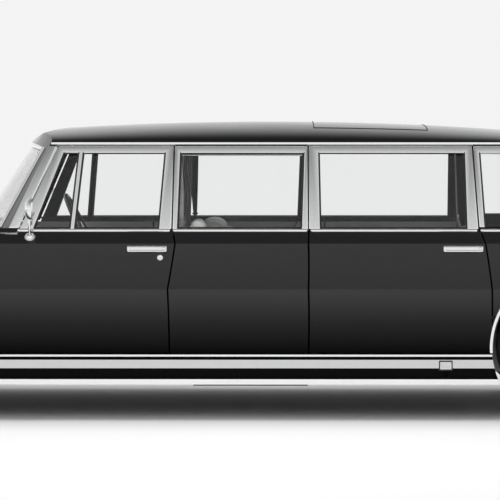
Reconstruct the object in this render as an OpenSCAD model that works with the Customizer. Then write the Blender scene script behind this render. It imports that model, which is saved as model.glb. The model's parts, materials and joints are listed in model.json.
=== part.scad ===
// Long formal limousine with four doors and a fixed glazed panel between the doors on each side.
// X runs forward, Y to the car's left and Z up. The origin is on the ground, midway along and across.

/* [Overall] */
// Length over the bumpers
body_length = 6240; // [6200:10:6300]
// Width over the flanks
body_width = 1950; // [1930:5:1970]
// Height of the roof above the ground
body_height = 1510; // [1505:1:1520]
// Distance between the axles as a share of the length
wheelbase_share = 0.625; // [0.62:0.001:0.632]
// Front of the bumper to the front axle
front_overhang = 900; // [890:5:910]
// How far each bumper stands ahead of the panels
bumper_reach = 110; // [100:5:120]
// Thickness of the outer panels
panel_t = 25; // [22:1:28]
// Gap round doors and lids
shut_gap = 8; // [7:0.5:9]

/* [Side lines] */
// Underside of the sills
sill_z = 186; // [180:1:195]
// Lower edge of the doors
door_z = 346; // [342:1:350]
// Crease along the flank
crease_z = 671; // [655:1:690]
// Shoulder above the handles
shoulder_z = 900; // [895:1:905]
// Belt line under the side windows
belt_z = 971; // [968:1:974]
// Top edge of the door frames below the roof
frame_drop = 120; // [118:1:124]
// Window tops below the top edge of the door frames
window_drop = 36; // [30:1:45]
// Drop of the door top below the belt ahead of the screen pillar
cowl_drop = 25; // [22:1:28]

/* [Section] */
// Tuck of the flank at the door's lower edge
door_tuck = 35; // [30:1:38]
// Tuck of the flank at the shoulder
shoulder_tuck = 25; // [20:1:30]
// Tuck of the side glass at the belt
belt_tuck = 105; // [100:1:110]
// Tuck of the side glass at the top of the door frames
rail_tuck = 280; // [270:1:290]
// Step that the belt moulding covers
belt_step = 6; // [4:1:8]
// Radius of the flank above the crease
upper_flank_r = 2200; // [1800:50:3000]
// Radius of the flank below the crease
lower_flank_r = 3000; // [2600:50:4000]
// Thickness of the window frames and roof
frame_t = 35; // [32:1:38]

/* [Doors] */
// Front axle to the front edge of the front doors
door_setback = 599; // [590:1:610]
// Length of the front doors along the belt as a share of the wheelbase
front_door_share = 0.325; // [0.32:0.001:0.328]
// Length of the rear doors along the belt as a share of the wheelbase
rear_door_share = 0.2195; // [0.215:0.0005:0.223]
// Rear axle to the rear edge of the rear doors at the belt
quarter_setback = 477; // [470:1:490]
// Slant of the rear shut faces
rear_bevel = 22; // [21:0.5:24]
// Slant of the front shut faces
front_bevel = 32; // [31:0.5:34]
// Hinge axis behind the door's front edge
hinge_back = 75; // [74:1:80]
// Hinge axis inboard of the widest point
hinge_in = 45; // [43:1:46]
// Radius of the door pivots
pivot_r = 5; // [4:0.5:6]
// Running clearance of pivots and axles
run_gap = 0.3; // [0.2:0.05:0.5]

/* [Screen pillar and glass] */
// Front door's front edge to the door frame's foot
pillar_back = 499; // [490:1:510]
// Lean of the screen pillar
pillar_lean = 0.446; // [0.42:0.002:0.46]
// Screen's rake from upright
screen_rake = 34; // [33:0.5:35]
// Radius of the screen
screen_r = 2100; // [2000:50:2300]
// Screen's foremost point ahead of the door frame's foot at the belt
screen_ahead = 285; // [280:1:290]
// Rear window's rake from upright
back_rake = 40; // [39:0.5:41]
// Radius of the rear window
back_r = 1900; // [1850:50:2100]
// Rear axle to the rearmost point of the rear window at the belt
back_behind = 460; // [450:5:470]
// Depth of the glass behind the outer surface
glass_in = 12; // [10:1:14]
// Thickness of the glass
glass_t = 8; // [6:1:9]
// Width of the bars beside the screen and rear window
surround_w = 45; // [42:1:50]

/* [Roof] */
// Radius of the roof line
roof_r = 18000; // [17000:500:20000]
// Radius of the roof's crown
crown_r = 7800; // [7400:50:8200]
// Radius of the roof's rounded side edges
roof_edge_r = 125; // [115:1:130]
// Highest point of the roof behind the middle
roof_peak = 150; // [120:10:180]
// Roof's front edge rolls down from this far behind the screen's line
header_back = 120; // [115:1:125]
// Fall of the screen's upper edge towards the pillars
head_fall = 0.18; // [0.16:0.01:0.2]

/* [Bonnet and boot] */
// Height of the nose
nose_z = 905; // [900:1:910]
// Height of the cowl
cowl_z = 975; // [974:1:978]
// Height of the boot's front edge
deck_z = 985; // [983:1:988]
// Height of the tail
tail_z = 905; // [900:1:915]
// Radius of the body's corners in plan
corner_r = 140; // [120:5:160]
// Half width of the bonnet
bonnet_half_w = 590; // [580:5:600]
// Bonnet's rear edge ahead of the screen's foot
bonnet_ahead = 33; // [28:1:38]
// Depth of the bonnet's front edge
bonnet_lip = 45; // [35:1:60]
// Half width of the boot lid
boot_half_w = 680; // [670:5:690]
// Boot lid's front edge behind the rear axle
boot_back = 530; // [520:5:545]
// Lower edge of the boot lid
boot_lip_z = 560; // [540:5:580]
// Lid pivots in from the edge
lid_pivot_in = 15; // [14:1:18]
// Lid pivots below the surface
lid_pivot_drop = 9; // [8:0.5:10]

/* [Wheels] */
// Rolling radius of the tyres
tyre_r = 375; // [370:1:378]
// Width of the tyres
tyre_w = 235; // [225:1:240]
// Radius of the rim's bead seat
bead_r = 190; // [185:1:195]
// Width between the wheels' middles
track = 1586; // [1570:2:1590]
// Radius of the wheel arches
arch_r = 410; // [406:1:414]
// Kingpin inboard of the wheel's middle
kingpin_in = 60; // [55:1:65]
// Radius of the kingpins
kingpin_r = 14; // [12:1:16]
// Radius of the stub axles
stub_r = 18; // [16:1:20]

/* [Cabin] */
// Top of the floor
floor_z = 225; // [222:1:230]
// Thickness of the floor
floor_t = 25; // [20:1:28]
// Half width of the floor between the sills
floor_half_w = 790; // [780:2:800]
// Half width of the seats
seat_half_w = 650; // [630:5:660]
// Height of the seat cushions above the floor
cushion_h = 335; // [320:5:350]
// Height of the seat backs above the floor
back_h = 740; // [725:5:750]
// Radius of the steering wheel
wheel_rim_r = 205; // [195:5:215]
// Tilt of the steering column from level
column_tilt = 26; // [24:0.5:28]

/* [Hidden] */
$fn = 64;
long_fn = 360;
big = 4000;
half_l = body_length / 2;
half_w = body_width / 2;
wheelbase = body_length * wheelbase_share;
front_door_l = wheelbase * front_door_share;
rear_door_l = wheelbase * rear_door_share;
frame_z = body_height - frame_drop;
window_z = frame_z - window_drop;
front_axle_x = half_l - front_overhang;
rear_axle_x = front_axle_x - wheelbase;
nose_x = half_l - bumper_reach;
door_x = front_axle_x - door_setback;
split_x = door_x - front_door_l;
quarter_x = rear_axle_x + quarter_setback;
rear_door_x = quarter_x + rear_door_l;
pillar_x = door_x - pillar_back;
sill_top_z = door_z - shut_gap;
rail_z = frame_z + shut_gap;
door_top_z = belt_z - cowl_drop;
cabin_y = half_w - belt_tuck - frame_t;
wheel_y = track / 2;
kingpin_y = wheel_y - kingpin_in;
boot_x = rear_axle_x - boot_back;
screen_x = pillar_x + screen_ahead;
back_x = rear_axle_x - back_behind;
bonnet_x = screen_x + bonnet_ahead;
header_x = screen_x - (body_height - belt_z) * tan(screen_rake) - header_back;
over_roof_z = body_height + 190;

rail_h = 10;
rail_w = 14;
floor_low_z = floor_z - floor_t;
firewall_x = door_x - 120;
kick_x = rear_axle_x + 450;
boot_floor_z = 545;

// Points of the flank's section, as half width and height
door_point = [half_w - door_tuck, door_z];
crease_point = [half_w, crease_z];
shoulder_point = [half_w - shoulder_tuck, shoulder_z];
shoulder_slope = (belt_tuck - belt_step - shoulder_tuck) / (belt_z - shoulder_z);
glass_slope = (rail_tuck - belt_tuck) / (frame_z - belt_z);

edge_low_z = door_z - 2 * shut_gap;
edge_high_z = frame_z + 2 * shut_gap;
// Shut lines, as height and distance ahead of the line's place at the belt
FRONT_SPLIT = [[edge_low_z, 12], [crease_z, 20], [belt_z, 0], [edge_high_z, -8]];
REAR_EDGE = [[edge_low_z, -61], [crease_z, -61], [shoulder_z, -29], [belt_z, 0], [edge_high_z, 25]];
PLUMB_EDGE = [[edge_low_z, 0], [crease_z, 0], [shoulder_z, 0], [belt_z, 0]];

// Side windows, as front foot, front head, rear foot and rear head
divider_w = 20;
divider_foot = pillar_x - 267;
divider_head = pillar_at(window_z) - 133;
VENT_WINDOW = [
    pillar_x - 70, pillar_at(window_z) - 46, divider_foot + divider_w / 2, divider_head + divider_w / 2
];
FRONT_WINDOW = [divider_foot - divider_w / 2, divider_head - divider_w / 2, split_x + 62, split_x + 32];
CENTRE_WINDOW = [split_x - 31, split_x - 43, rear_door_x + 38, rear_door_x + 24];
REAR_WINDOW = [rear_door_x - 55, rear_door_x - 49, quarter_x + 55, quarter_x + 60];
QUARTER_WINDOW = [quarter_x - 34, quarter_x - 14, quarter_x - 380, quarter_x - 285];

// Centre of the arc of radius r from p up to q that bulges outboard
function arc_centre(p, q, r) =
    let (d = q - p, n = [-d[1], d[0]] / norm(d))
    (p + q) / 2 + n * sqrt(r * r - d * d / 4);

upper_centre = arc_centre(crease_point, shoulder_point, upper_flank_r);
lower_centre = arc_centre(door_point, crease_point, lower_flank_r);

// Half width of the shoulder's slope, of the glass and of the whole side at a height
function slope_y(z) = shoulder_point[0] - (z - shoulder_z) * shoulder_slope;
function glass_y(z) = half_w - belt_tuck - (z - belt_z) * glass_slope;
function arc_y(c, r, z) = c[0] + sqrt(r * r - (z - c[1]) * (z - c[1]));
function side_y(z) =
    z >= belt_z ? glass_y(z)
    : z >= shoulder_z ? slope_y(z)
    : z >= crease_z ? arc_y(upper_centre, upper_flank_r, z)
    : arc_y(lower_centre, lower_flank_r, z);
// Line of the door frame up the screen pillar
function pillar_at(z) = pillar_x - (z - belt_z) * pillar_lean;
// Height of the top panels along the car
function deck_at(x) =
    x > bonnet_x ? cowl_z + (nose_z - cowl_z) * (x - bonnet_x) / (nose_x - bonnet_x)
    : x < boot_x ? deck_z + (tail_z - deck_z) * (boot_x - x) / (boot_x + nose_x)
    : deck_z + (cowl_z - deck_z) * (x - boot_x) / (bonnet_x - boot_x);

// Draws the children on the left for side 1 and on the right for side -1
module on_side(side) {
    if (side > 0) children();
    else mirror([0, 1, 0]) children();
}

module both_sides() {
    for (side = [1, -1]) on_side(side) children();
}

// Carries a section of half width and height along the whole car
module along_flank() {
    rotate([90, 0, 90]) linear_extrude(height = body_length + 200, center = true) children();
}

// Carries a side view across the whole width
module across() {
    rotate([90, 0, 0]) linear_extrude(height = 3 * big, center = true) children();
}

// Carries a front view along the car from one place to another
module lengthwise(from_x, to_x) {
    translate([from_x, 0, 0])
        rotate([90, 0, 90]) linear_extrude(height = to_x - from_x) children();
}

// Sections
module flank_section(inset = 0, low = sill_z, high = 1010) {
    slope_inset = inset * norm([1, shoulder_slope]);
    intersection() {
        translate(upper_centre) circle(r = upper_flank_r - inset, $fn = long_fn);
        translate(lower_centre) circle(r = lower_flank_r - inset, $fn = long_fn);
        polygon([
            [-half_w, low], [slope_y(low) - slope_inset, low],
            [slope_y(high) - slope_inset, high], [-half_w, high]
        ]);
    }
}

module glass_section(inset = 0, low = belt_z, high = over_roof_z) {
    polygon([
        [-half_w, low], [glass_y(low) - inset, low],
        [glass_y(high) - inset, high], [-half_w, high]
    ]);
}

// Wall of the doors and fixed side panels, as thick as the whole door
module side_section(low, high) {
    difference() {
        union() {
            flank_section(low = low, high = belt_z);
            glass_section(low = belt_z - 20, high = high);
        }
        polygon([
            [-body_width, low - 1], [cabin_y, low - 1], [cabin_y, belt_z],
            [glass_y(high + 1) - frame_t, high + 1], [-body_width, high + 1]
        ]);
    }
}

// Side-view region ahead of or behind a slanted shut line, moved forward by shift
module shut_region(line, at_x, bevel, shift, ahead) {
    edge = [for (p = line) [(at_x + p[1]) * cos(bevel) + side_y(p[0]) * sin(bevel) + shift, p[0]]];
    far = ahead ? big : -big;
    last = len(edge) - 1;
    rotate([0, 0, bevel])
        across() polygon(concat([[far, edge[0][1]]], edge, [[far, edge[last][1]]]));
}

module window_view(w) {
    polygon([[w[0], belt_z], [w[1], window_z], [w[3], window_z], [w[2], belt_z]]);
}

// Outer form of the body below the glass, drawn in by inset and open below
module lower_form(inset = 0, low = sill_top_z) {
    cap_y = half_w - corner_r;
    intersection() {
        along_flank() flank_section(inset, low);
        mirror([0, 1, 0]) along_flank() flank_section(inset, low);
        across() polygon([
            [-nose_x - 1, low], [nose_x + 1, low], [nose_x + 1, deck_at(nose_x + 1) - inset],
            [bonnet_x, cowl_z - inset], [boot_x, deck_z - inset],
            [-nose_x - 1, deck_at(-nose_x - 1) - inset]
        ]);
        linear_extrude(height = big) union() {
            square([2 * (nose_x - corner_r), big], center = true);
            square([2 * (nose_x - inset), 2 * cap_y], center = true);
            for (sx = [1, -1], sy = [1, -1])
                translate([sx * (nose_x - corner_r), sy * cap_y]) circle(r = corner_r - inset);
        }
    }
}

module panel_shell() {
    difference() {
        lower_form();
        lower_form(panel_t, sill_top_z - 1);
    }
}

// Cylinder that the screen lies on, and the one for the rear window
module screen_form(inset = 0) {
    translate([screen_x, 0, belt_z])
        rotate([0, -screen_rake, 0])
            translate([-screen_r, 0, -1.5 * big])
                cylinder(r = screen_r - inset, h = 3 * big, $fn = long_fn);
}

module back_form(inset = 0) {
    translate([back_x, 0, belt_z])
        rotate([0, back_rake, 0])
            translate([back_r, 0, -1.5 * big])
                cylinder(r = back_r - inset, h = 3 * big, $fn = long_fn);
}

// Roof crowned across and bowed along the car
module roof_form(inset = 0) {
    roof_a = 11.25;
    translate([-roof_peak, 0, body_height - roof_r])
        rotate([90, 0, 0])
            rotate([0, 0, 90 - roof_a])
                rotate_extrude(angle = 2 * roof_a, $fn = long_fn)
                    intersection() {
                        translate([roof_r - crown_r, 0]) circle(r = crown_r - inset, $fn = long_fn);
                        translate([roof_r - 900, -half_w]) square([950, body_width]);
                    }
}

// Height of the roof line at a place
function roof_z(x) = body_height - roof_r + sqrt(roof_r * roof_r - (x + roof_peak) * (x + roof_peak));

// Flats that roll the roof's front edge down to the screen, as distance ahead of its start and slope
HEADER_FLATS = [[0, 9], [60, 19], [115, 31]];

function flat_z(i) = i == 0 ? roof_z(header_x)
    : flat_z(i - 1) - (HEADER_FLATS[i][0] - HEADER_FLATS[i - 1][0]) * tan(HEADER_FLATS[i - 1][1]);

module header_cut(inset = 0) {
    lap = 500;
    for (i = [0 : len(HEADER_FLATS) - 1])
        translate([header_x + HEADER_FLATS[i][0], 0, flat_z(i) - inset])
            rotate([0, HEADER_FLATS[i][1], 0])
                translate([-lap, -half_w, 0]) cube([lap + body_height, body_width, body_height]);
}

// Side of the glasshouse, whose upper edge rounds into the roof
glass_a = atan(glass_slope);
roof_edge_z = rail_z + rail_h + 4;
roof_edge_centre = [glass_y(roof_edge_z), roof_edge_z] - roof_edge_r * [cos(glass_a), sin(glass_a)];

module house_section(inset, low) {
    top_a = 80;
    r = roof_edge_r - inset * cos(glass_a);
    start = roof_edge_centre + r * [cos(glass_a), sin(glass_a)];
    finish = roof_edge_centre + r * [cos(top_a), sin(top_a)];
    far = finish + 1.3 * half_w * [-sin(top_a), cos(top_a)];
    union() {
        translate(roof_edge_centre) circle(r = r, $fn = long_fn);
        polygon([
            [-half_w, low], [glass_y(low) - inset, low], start, roof_edge_centre, finish, far,
            [-half_w, far[1]]
        ]);
    }
}

module glasshouse(inset = 0, low = belt_z - 60) {
    intersection() {
        along_flank() house_section(inset, low);
        mirror([0, 1, 0]) along_flank() house_section(inset, low);
        roof_form(inset);
        screen_form(inset);
        back_form(inset);
    }
}

// Tapered openings of the screen and rear window, square to their rake
module raked_opening(at_x, lean, foot_half_w, head_half_w, height) {
    translate([at_x, 0, belt_z])
        rotate([0, lean, 0])
            rotate([90, 0, 90])
                linear_extrude(height = 1000, center = true)
                    polygon([
                        [-foot_half_w, -100], [foot_half_w, -100],
                        [head_half_w, height], [-head_half_w, height]
                    ]);
}

// Height of the screen's upper edge at a place, from the middle of the car's width back to the pillars
screen_head_x = screen_x - (frame_z - belt_z) * tan(screen_rake);
function screen_top(x) = frame_z + (x - screen_head_x) * head_fall;

module screen_opening() {
    foot_half_w = glass_y(belt_z) - surround_w;
    tall = 1.35 * (frame_z - belt_z);
    head_half_w = glass_y(belt_z + tall * cos(screen_rake)) - surround_w;
    intersection() {
        raked_opening(screen_x, -screen_rake, foot_half_w, head_half_w, tall);
        across() polygon([
            [-big, 0], [big, 0], [big, screen_top(big)], [0, screen_top(0)], [-big, screen_top(0)]
        ]);
    }
}

module back_opening() {
    foot_half_w = glass_y(belt_z) - 3 * surround_w;
    head_half_w = glass_y(frame_z) - 2 * surround_w;
    tall = 1.15 * (frame_z - belt_z);
    ahead = 360;
    behind = 400;
    intersection() {
        raked_opening(back_x, back_rake, foot_half_w, head_half_w, tall);
        translate([back_x - behind, -half_w, 0]) cube([ahead + behind, body_width, big]);
    }
}

// Room inside the doors from the dash to the rear shelf
module cabin_room() {
    room_back = rear_axle_x + 40;
    room_front = pillar_x + 130;
    room_z = 500;
    translate([room_back, -cabin_y, room_z])
        cube([room_front - room_back, 2 * cabin_y, belt_z + 130 - room_z]);
}

module arches() {
    for (x = [front_axle_x, rear_axle_x])
        translate([x, 0, tyre_r])
            rotate([90, 0, 0]) cylinder(r = arch_r, h = big, center = true, $fn = 128);
}

// Pieces of the fixed body

module floor() {
    boot_floor_half_w = 560;
    firewall_half_w = 700;
    firewall_top_z = 890;
    bulkhead_x = rear_axle_x + 40;
    color("dimgray") union() {
        translate([kick_x, -floor_half_w, floor_low_z])
            cube([firewall_x - kick_x, 2 * floor_half_w, floor_t]);
        translate([firewall_x, -firewall_half_w, floor_low_z])
            cube([floor_t, 2 * firewall_half_w, firewall_top_z - floor_low_z]);
        translate([kick_x - floor_t, -boot_floor_half_w, floor_low_z])
            cube([floor_t, 2 * boot_floor_half_w, boot_floor_z - floor_low_z]);
        translate([panel_t - nose_x, -boot_floor_half_w, boot_floor_z - floor_t])
            cube([kick_x + nose_x - panel_t, 2 * boot_floor_half_w, floor_t]);
        translate([bulkhead_x - floor_t, -boot_floor_half_w, boot_floor_z])
            cube([floor_t, 2 * boot_floor_half_w, deck_at(bulkhead_x) - panel_t - boot_floor_z]);
    }
}

// Jacking socket in each sill
jack_x = rear_door_x - 690;
jack_r = 15;
jack_z = sill_z + 50;
jack_foot_y = floor_half_w + 90;
jack_face_y = floor_half_w + 124;
jack_face_r = 24;

module sills() {
    color("black") both_sides() difference() {
        union() {
            intersection() {
                along_flank() difference() {
                    flank_section(high = sill_top_z);
                    translate([-body_width, 0]) square([body_width + floor_half_w, big]);
                }
                translate([rear_axle_x + 300, 0, 0])
                    cube([wheelbase - 600, half_w, sill_top_z]);
            }
            for (x = [door_x, rear_door_x])
                translate([x - hinge_back, half_w - hinge_in, sill_top_z - 1])
                    cylinder(r = pivot_r, h = shut_gap + 21);
        }
        arches();
        translate([jack_x, 0, jack_z]) rotate([-90, 0, 0]) {
            translate([0, 0, jack_foot_y]) cylinder(r = jack_r, h = 200);
            translate([0, 0, jack_face_y]) cylinder(r = jack_face_r, h = 200);
        }
    }
}

module front_wings() {
    color("black") difference() {
        intersection() {
            panel_shell();
            both_sides() difference() {
                translate([door_x, bonnet_half_w, 0]) cube([big, big, big]);
                shut_region(PLUMB_EDGE, door_x, front_bevel, shut_gap, false);
                translate([0, 0, door_top_z]) cube([door_x + shut_gap, big, big]);
            }
        }
        arches();
    }
}

grille_half_w = 270;
grille_low = 430;

module nose_panel() {
    color("black") difference() {
        intersection() {
            panel_shell();
            translate([nose_x - panel_t, -bonnet_half_w, 0])
                cube([panel_t, 2 * bonnet_half_w, nose_z - bonnet_lip - shut_gap]);
        }
        translate([nose_x - 100, -grille_half_w, grille_low]) cube([200, 2 * grille_half_w, big]);
    }
}

module lid_pivots(x, z, half_width) {
    both_sides() translate([x, half_width + 1, z])
        rotate([90, 0, 0]) cylinder(r = pivot_r, h = shut_gap + 21);
}

bonnet_pivot_x = bonnet_x + shut_gap + lid_pivot_in;
bonnet_pivot_z = deck_at(bonnet_pivot_x) - lid_pivot_drop;
boot_pivot_x = boot_x - shut_gap - lid_pivot_in;
boot_pivot_z = deck_at(boot_pivot_x) - lid_pivot_drop;

module cowl() {
    color("black") difference() {
        union() {
            intersection() {
                panel_shell();
                translate([pillar_x - 60, -half_w, door_top_z + shut_gap])
                    cube([door_x + shut_gap - pillar_x + 60, body_width, big]);
            }
            lid_pivots(bonnet_pivot_x, bonnet_pivot_z, bonnet_half_w);
        }
        difference() {
            translate([bonnet_x, -bonnet_half_w, 0]) cube([big, 2 * bonnet_half_w, big]);
            lid_pivots(bonnet_pivot_x, bonnet_pivot_z, bonnet_half_w);
        }
        cabin_room();
        across() polygon([
            [-big, 0], [pillar_at(0) + shut_gap, 0],
            [pillar_at(big / 2) + shut_gap, big / 2], [-big, big / 2]
        ]);
    }
}

// Side view of the opening over both doors and the fixed panel
module side_opening() {
    intersection() {
        across() polygon([
            [-big, 0], [pillar_at(0) + shut_gap, 0], [pillar_at(rail_z) + shut_gap, rail_z], [-big, rail_z]
        ]);
        both_sides() intersection() {
            shut_region(REAR_EDGE, quarter_x, rear_bevel, -shut_gap, true);
            translate([-big, 0, 0]) cube([2 * big, big, big]);
        }
    }
}

module roof() {
    color("black") difference() {
        glasshouse();
        difference() {
            glasshouse(frame_t, belt_z - 70);
            header_cut(frame_t);
        }
        header_cut();
        side_opening();
        lower_form();
        screen_opening();
        back_opening();
        across() window_view(QUARTER_WINDOW);
    }
}

module centre_panels() {
    color("black") both_sides() difference() {
        lengthwise(rear_door_x - 50, split_x + 150) side_section(sill_top_z, rail_z);
        shut_region(FRONT_SPLIT, split_x, rear_bevel, -shut_gap, true);
        shut_region(PLUMB_EDGE, rear_door_x, front_bevel, shut_gap, false);
        translate([rear_door_x + shut_gap - 200, 0, belt_z - 1]) cube([200, big, big]);
        across() window_view(CENTRE_WINDOW);
    }
}

module rear_body() {
    color("black") difference() {
        union() {
            difference() {
                intersection() {
                    panel_shell();
                    translate([-big, -half_w, 0]) cube([big + quarter_x, body_width, big]);
                }
                translate([-nose_x - 50, -boot_half_w, boot_lip_z])
                    cube([boot_x + nose_x + 50, 2 * boot_half_w, big]);
            }
            lid_pivots(boot_pivot_x, boot_pivot_z, boot_half_w);
        }
        both_sides() shut_region(REAR_EDGE, quarter_x, rear_bevel, -shut_gap, true);
        cabin_room();
        arches();
        translate([rear_axle_x + arch_r - 40, -half_w, 0]) cube([200, body_width, tyre_r + 160]);
    }
}

module windscreen() {
    color("lightblue", 0.4) difference() {
        intersection() {
            screen_form(glass_in);
            screen_opening();
            glasshouse(glass_in);
        }
        screen_form(glass_in + glass_t);
        lower_form();
    }
}

module rear_window() {
    color("lightblue", 0.4) difference() {
        intersection() {
            back_form(glass_in);
            back_opening();
            glasshouse(glass_in);
        }
        back_form(glass_in + glass_t);
        lower_form();
    }
}

module side_pane(w) {
    intersection() {
        along_flank() difference() {
            glass_section(glass_in, belt_z - 1);
            glass_section(glass_in + glass_t, belt_z - 2, over_roof_z + 1);
        }
        across() window_view(w);
    }
}

module fixed_side_glass() {
    color("lightblue", 0.4) both_sides() {
        side_pane(CENTRE_WINDOW);
        difference() {
            side_pane(QUARTER_WINDOW);
            lower_form();
        }
    }
}

module drip_rails() {
    color("silver") both_sides() intersection() {
        along_flank() difference() {
            translate([glass_y(rail_z) - 30, rail_z]) square([30 + rail_w, rail_h]);
            glass_section(0, belt_z);
        }
        translate([quarter_x - 290, 0, 0]) cube([pillar_at(rail_z) + 40 - quarter_x + 290, big, big]);
    }
}

// Bright strips along the sill, as low edge, high edge and how far they stand out
SILL_STRIPS = [[sill_z, 27, 10], [sill_z + 83, 43, 12], [sill_z + 142, 10, 10]];

module sill_mouldings() {
    lap = 120;
    tuck = 6;
    ends = 300;
    color("silver") both_sides() intersection() {
        difference() {
            along_flank() difference() {
                union() for (s = SILL_STRIPS) {
                    low = s[0];
                    translate([half_w - lap, low])
                        square([lap - door_tuck - tuck + s[2], min(s[1], sill_top_z - low)]);
                }
                flank_section(low = 0, high = door_z);
            }
            arches();
        }
        translate([rear_axle_x + ends, 0, 0]) cube([wheelbase - 2 * ends, half_w, sill_top_z]);
    }
}

module grille() {
    bars = 9;
    bar_w = 8;
    frame_w = 26;
    depth = 60;
    high = nose_z - bonnet_lip - shut_gap - 1;
    pitch = (2 * grille_half_w - 2 * frame_w) / (bars + 1);
    color("silver") translate([nose_x - panel_t, 0, 0]) union() {
        difference() {
            translate([0, -grille_half_w, grille_low]) cube([depth, 2 * grille_half_w, high - grille_low]);
            translate([-1, frame_w - grille_half_w, grille_low + frame_w])
                cube([depth + 2, 2 * (grille_half_w - frame_w), high - grille_low - 2 * frame_w]);
        }
        for (i = [1 : bars])
            translate([10, frame_w - grille_half_w + i * pitch - bar_w / 2, grille_low + frame_w])
                cube([depth - 20, bar_w, high - grille_low - 2 * frame_w]);
    }
}

bumper_low = 380;
bumper_h = 150;
bumper_t = 50;
bumper_corner_r = 130;
bumper_return = 330;

module bumper_section() {
    polygon([
        [0, 0], [bumper_t * 0.7, 14], [bumper_t, 48], [bumper_t, bumper_h - 48],
        [bumper_t * 0.7, bumper_h - 14], [0, bumper_h]
    ]);
}

// Bumper with rounded corners and side returns, faced towards +X
module bumper() {
    face_x = half_l - bumper_t;
    side = half_w;
    bend_x = face_x - bumper_corner_r;
    bend_y = side - bumper_corner_r;
    translate([0, 0, bumper_low]) {
        translate([face_x, bend_y, 0])
            rotate([90, 0, 0]) linear_extrude(height = 2 * bend_y) bumper_section();
        both_sides() {
            translate([bend_x, bend_y, 0])
                rotate_extrude(angle = 90) translate([bumper_corner_r, 0]) bumper_section();
            translate([bend_x - bumper_return, side, 0])
                rotate([0, 0, 90]) rotate([90, 0, 0]) linear_extrude(height = bumper_return)
                    bumper_section();
        }
        both_sides() translate([nose_x, 420, 45]) cube([face_x - nose_x, 60, 60]);
    }
}

module front_bumper() {
    color("silver") bumper();
}

module rear_bumper() {
    color("silver") mirror([1, 0, 0]) bumper();
}

lamp_y = 705;
lamp_r = 82;
LAMP_Z = [720, 560];

module lamp_bezels() {
    half_width = 98;
    low = LAMP_Z[1] - lamp_r - 30;
    tall = LAMP_Z[0] + lamp_r + 30 - low;
    color("silver") both_sides() difference() {
        translate([nose_x, lamp_y - half_width, low]) cube([22, 2 * half_width, tall]);
        for (z = LAMP_Z)
            translate([nose_x - 1, lamp_y, z]) rotate([0, 90, 0]) cylinder(r = lamp_r, h = 40);
    }
}

module lamp_lenses() {
    dome_r = 150;
    rise = dome_r - sqrt(dome_r * dome_r - lamp_r * lamp_r);
    color("white") both_sides() for (z = LAMP_Z)
        translate([nose_x, lamp_y, z]) rotate([0, 90, 0]) union() {
            cylinder(r = lamp_r - run_gap, h = 8);
            intersection() {
                translate([0, 0, 8 + rise - dome_r]) sphere(r = dome_r, $fn = 96);
                cylinder(r = lamp_r - run_gap, h = 8 + 2 * rise);
            }
        }
}

module tail_lamps() {
    color("firebrick") both_sides()
        translate([-nose_x - 26, 700, 600]) cube([26, 110, 190]);
}

// Lids

module bonnet() {
    color("black") difference() {
        intersection() {
            panel_shell();
            translate([bonnet_x + shut_gap, shut_gap - bonnet_half_w, nose_z - bonnet_lip])
                cube([big, 2 * (bonnet_half_w - shut_gap), big]);
        }
        both_sides() translate([bonnet_pivot_x, bonnet_half_w, bonnet_pivot_z])
            rotate([90, 0, 0]) cylinder(r = pivot_r + run_gap, h = shut_gap + 21);
    }
}

module boot_lid() {
    color("black") difference() {
        intersection() {
            panel_shell();
            translate([-big, shut_gap - boot_half_w, boot_lip_z + shut_gap])
                cube([big + boot_x - shut_gap, 2 * (boot_half_w - shut_gap), big]);
        }
        both_sides() translate([boot_pivot_x, boot_half_w, boot_pivot_z])
            rotate([90, 0, 0]) cylinder(r = pivot_r + run_gap, h = shut_gap + 21);
    }
}

// Doors

module hinge_bore(x) {
    translate([x - hinge_back, half_w - hinge_in, door_z - 1])
        cylinder(r = pivot_r + run_gap, h = 23);
}

module front_door(side) {
    color("black") on_side(side) difference() {
        intersection() {
            lengthwise(split_x - 50, door_x + 150) side_section(door_z, frame_z);
            across() polygon([
                [-big, door_z], [big, door_z], [big, door_top_z],
                [pillar_at(door_top_z), door_top_z], [pillar_at(frame_z), frame_z], [-big, frame_z]
            ]);
        }
        shut_region(PLUMB_EDGE, door_x, front_bevel, 0, true);
        shut_region(FRONT_SPLIT, split_x, rear_bevel, 0, false);
        across() window_view(VENT_WINDOW);
        across() window_view(FRONT_WINDOW);
        hinge_bore(door_x);
    }
}

module rear_door(side) {
    color("black") on_side(side) difference() {
        lengthwise(quarter_x - 200, rear_door_x + 150) side_section(door_z, frame_z);
        shut_region(PLUMB_EDGE, rear_door_x, front_bevel, 0, true);
        translate([rear_door_x, 0, belt_z - shut_gap]) cube([big, big, big]);
        shut_region(REAR_EDGE, quarter_x, rear_bevel, 0, false);
        across() window_view(REAR_WINDOW);
        hinge_bore(rear_door_x);
    }
}

module front_panes(side) {
    color("lightblue", 0.4) on_side(side) {
        side_pane(VENT_WINDOW);
        side_pane(FRONT_WINDOW);
    }
}

module rear_pane(side) {
    color("lightblue", 0.4) on_side(side) side_pane(REAR_WINDOW);
}

handle_l = 202;
handle_h = 30;
handle_z = 875;

// Pull handle on two feet, its rear end at the given place
module pull_handle(x) {
    foot_l = 34;
    stand = 42;
    y = side_y(handle_z);
    difference() {
        translate([x, y - 30, handle_z - handle_h / 2]) union() {
            translate([0, 30 + stand - 18, 0]) cube([handle_l, 18, handle_h]);
            for (dx = [0, handle_l - foot_l])
                translate([dx, 0, 0]) cube([foot_l, 30 + stand - 10, handle_h]);
        }
        along_flank() flank_section(high = belt_z);
    }
}

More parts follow.
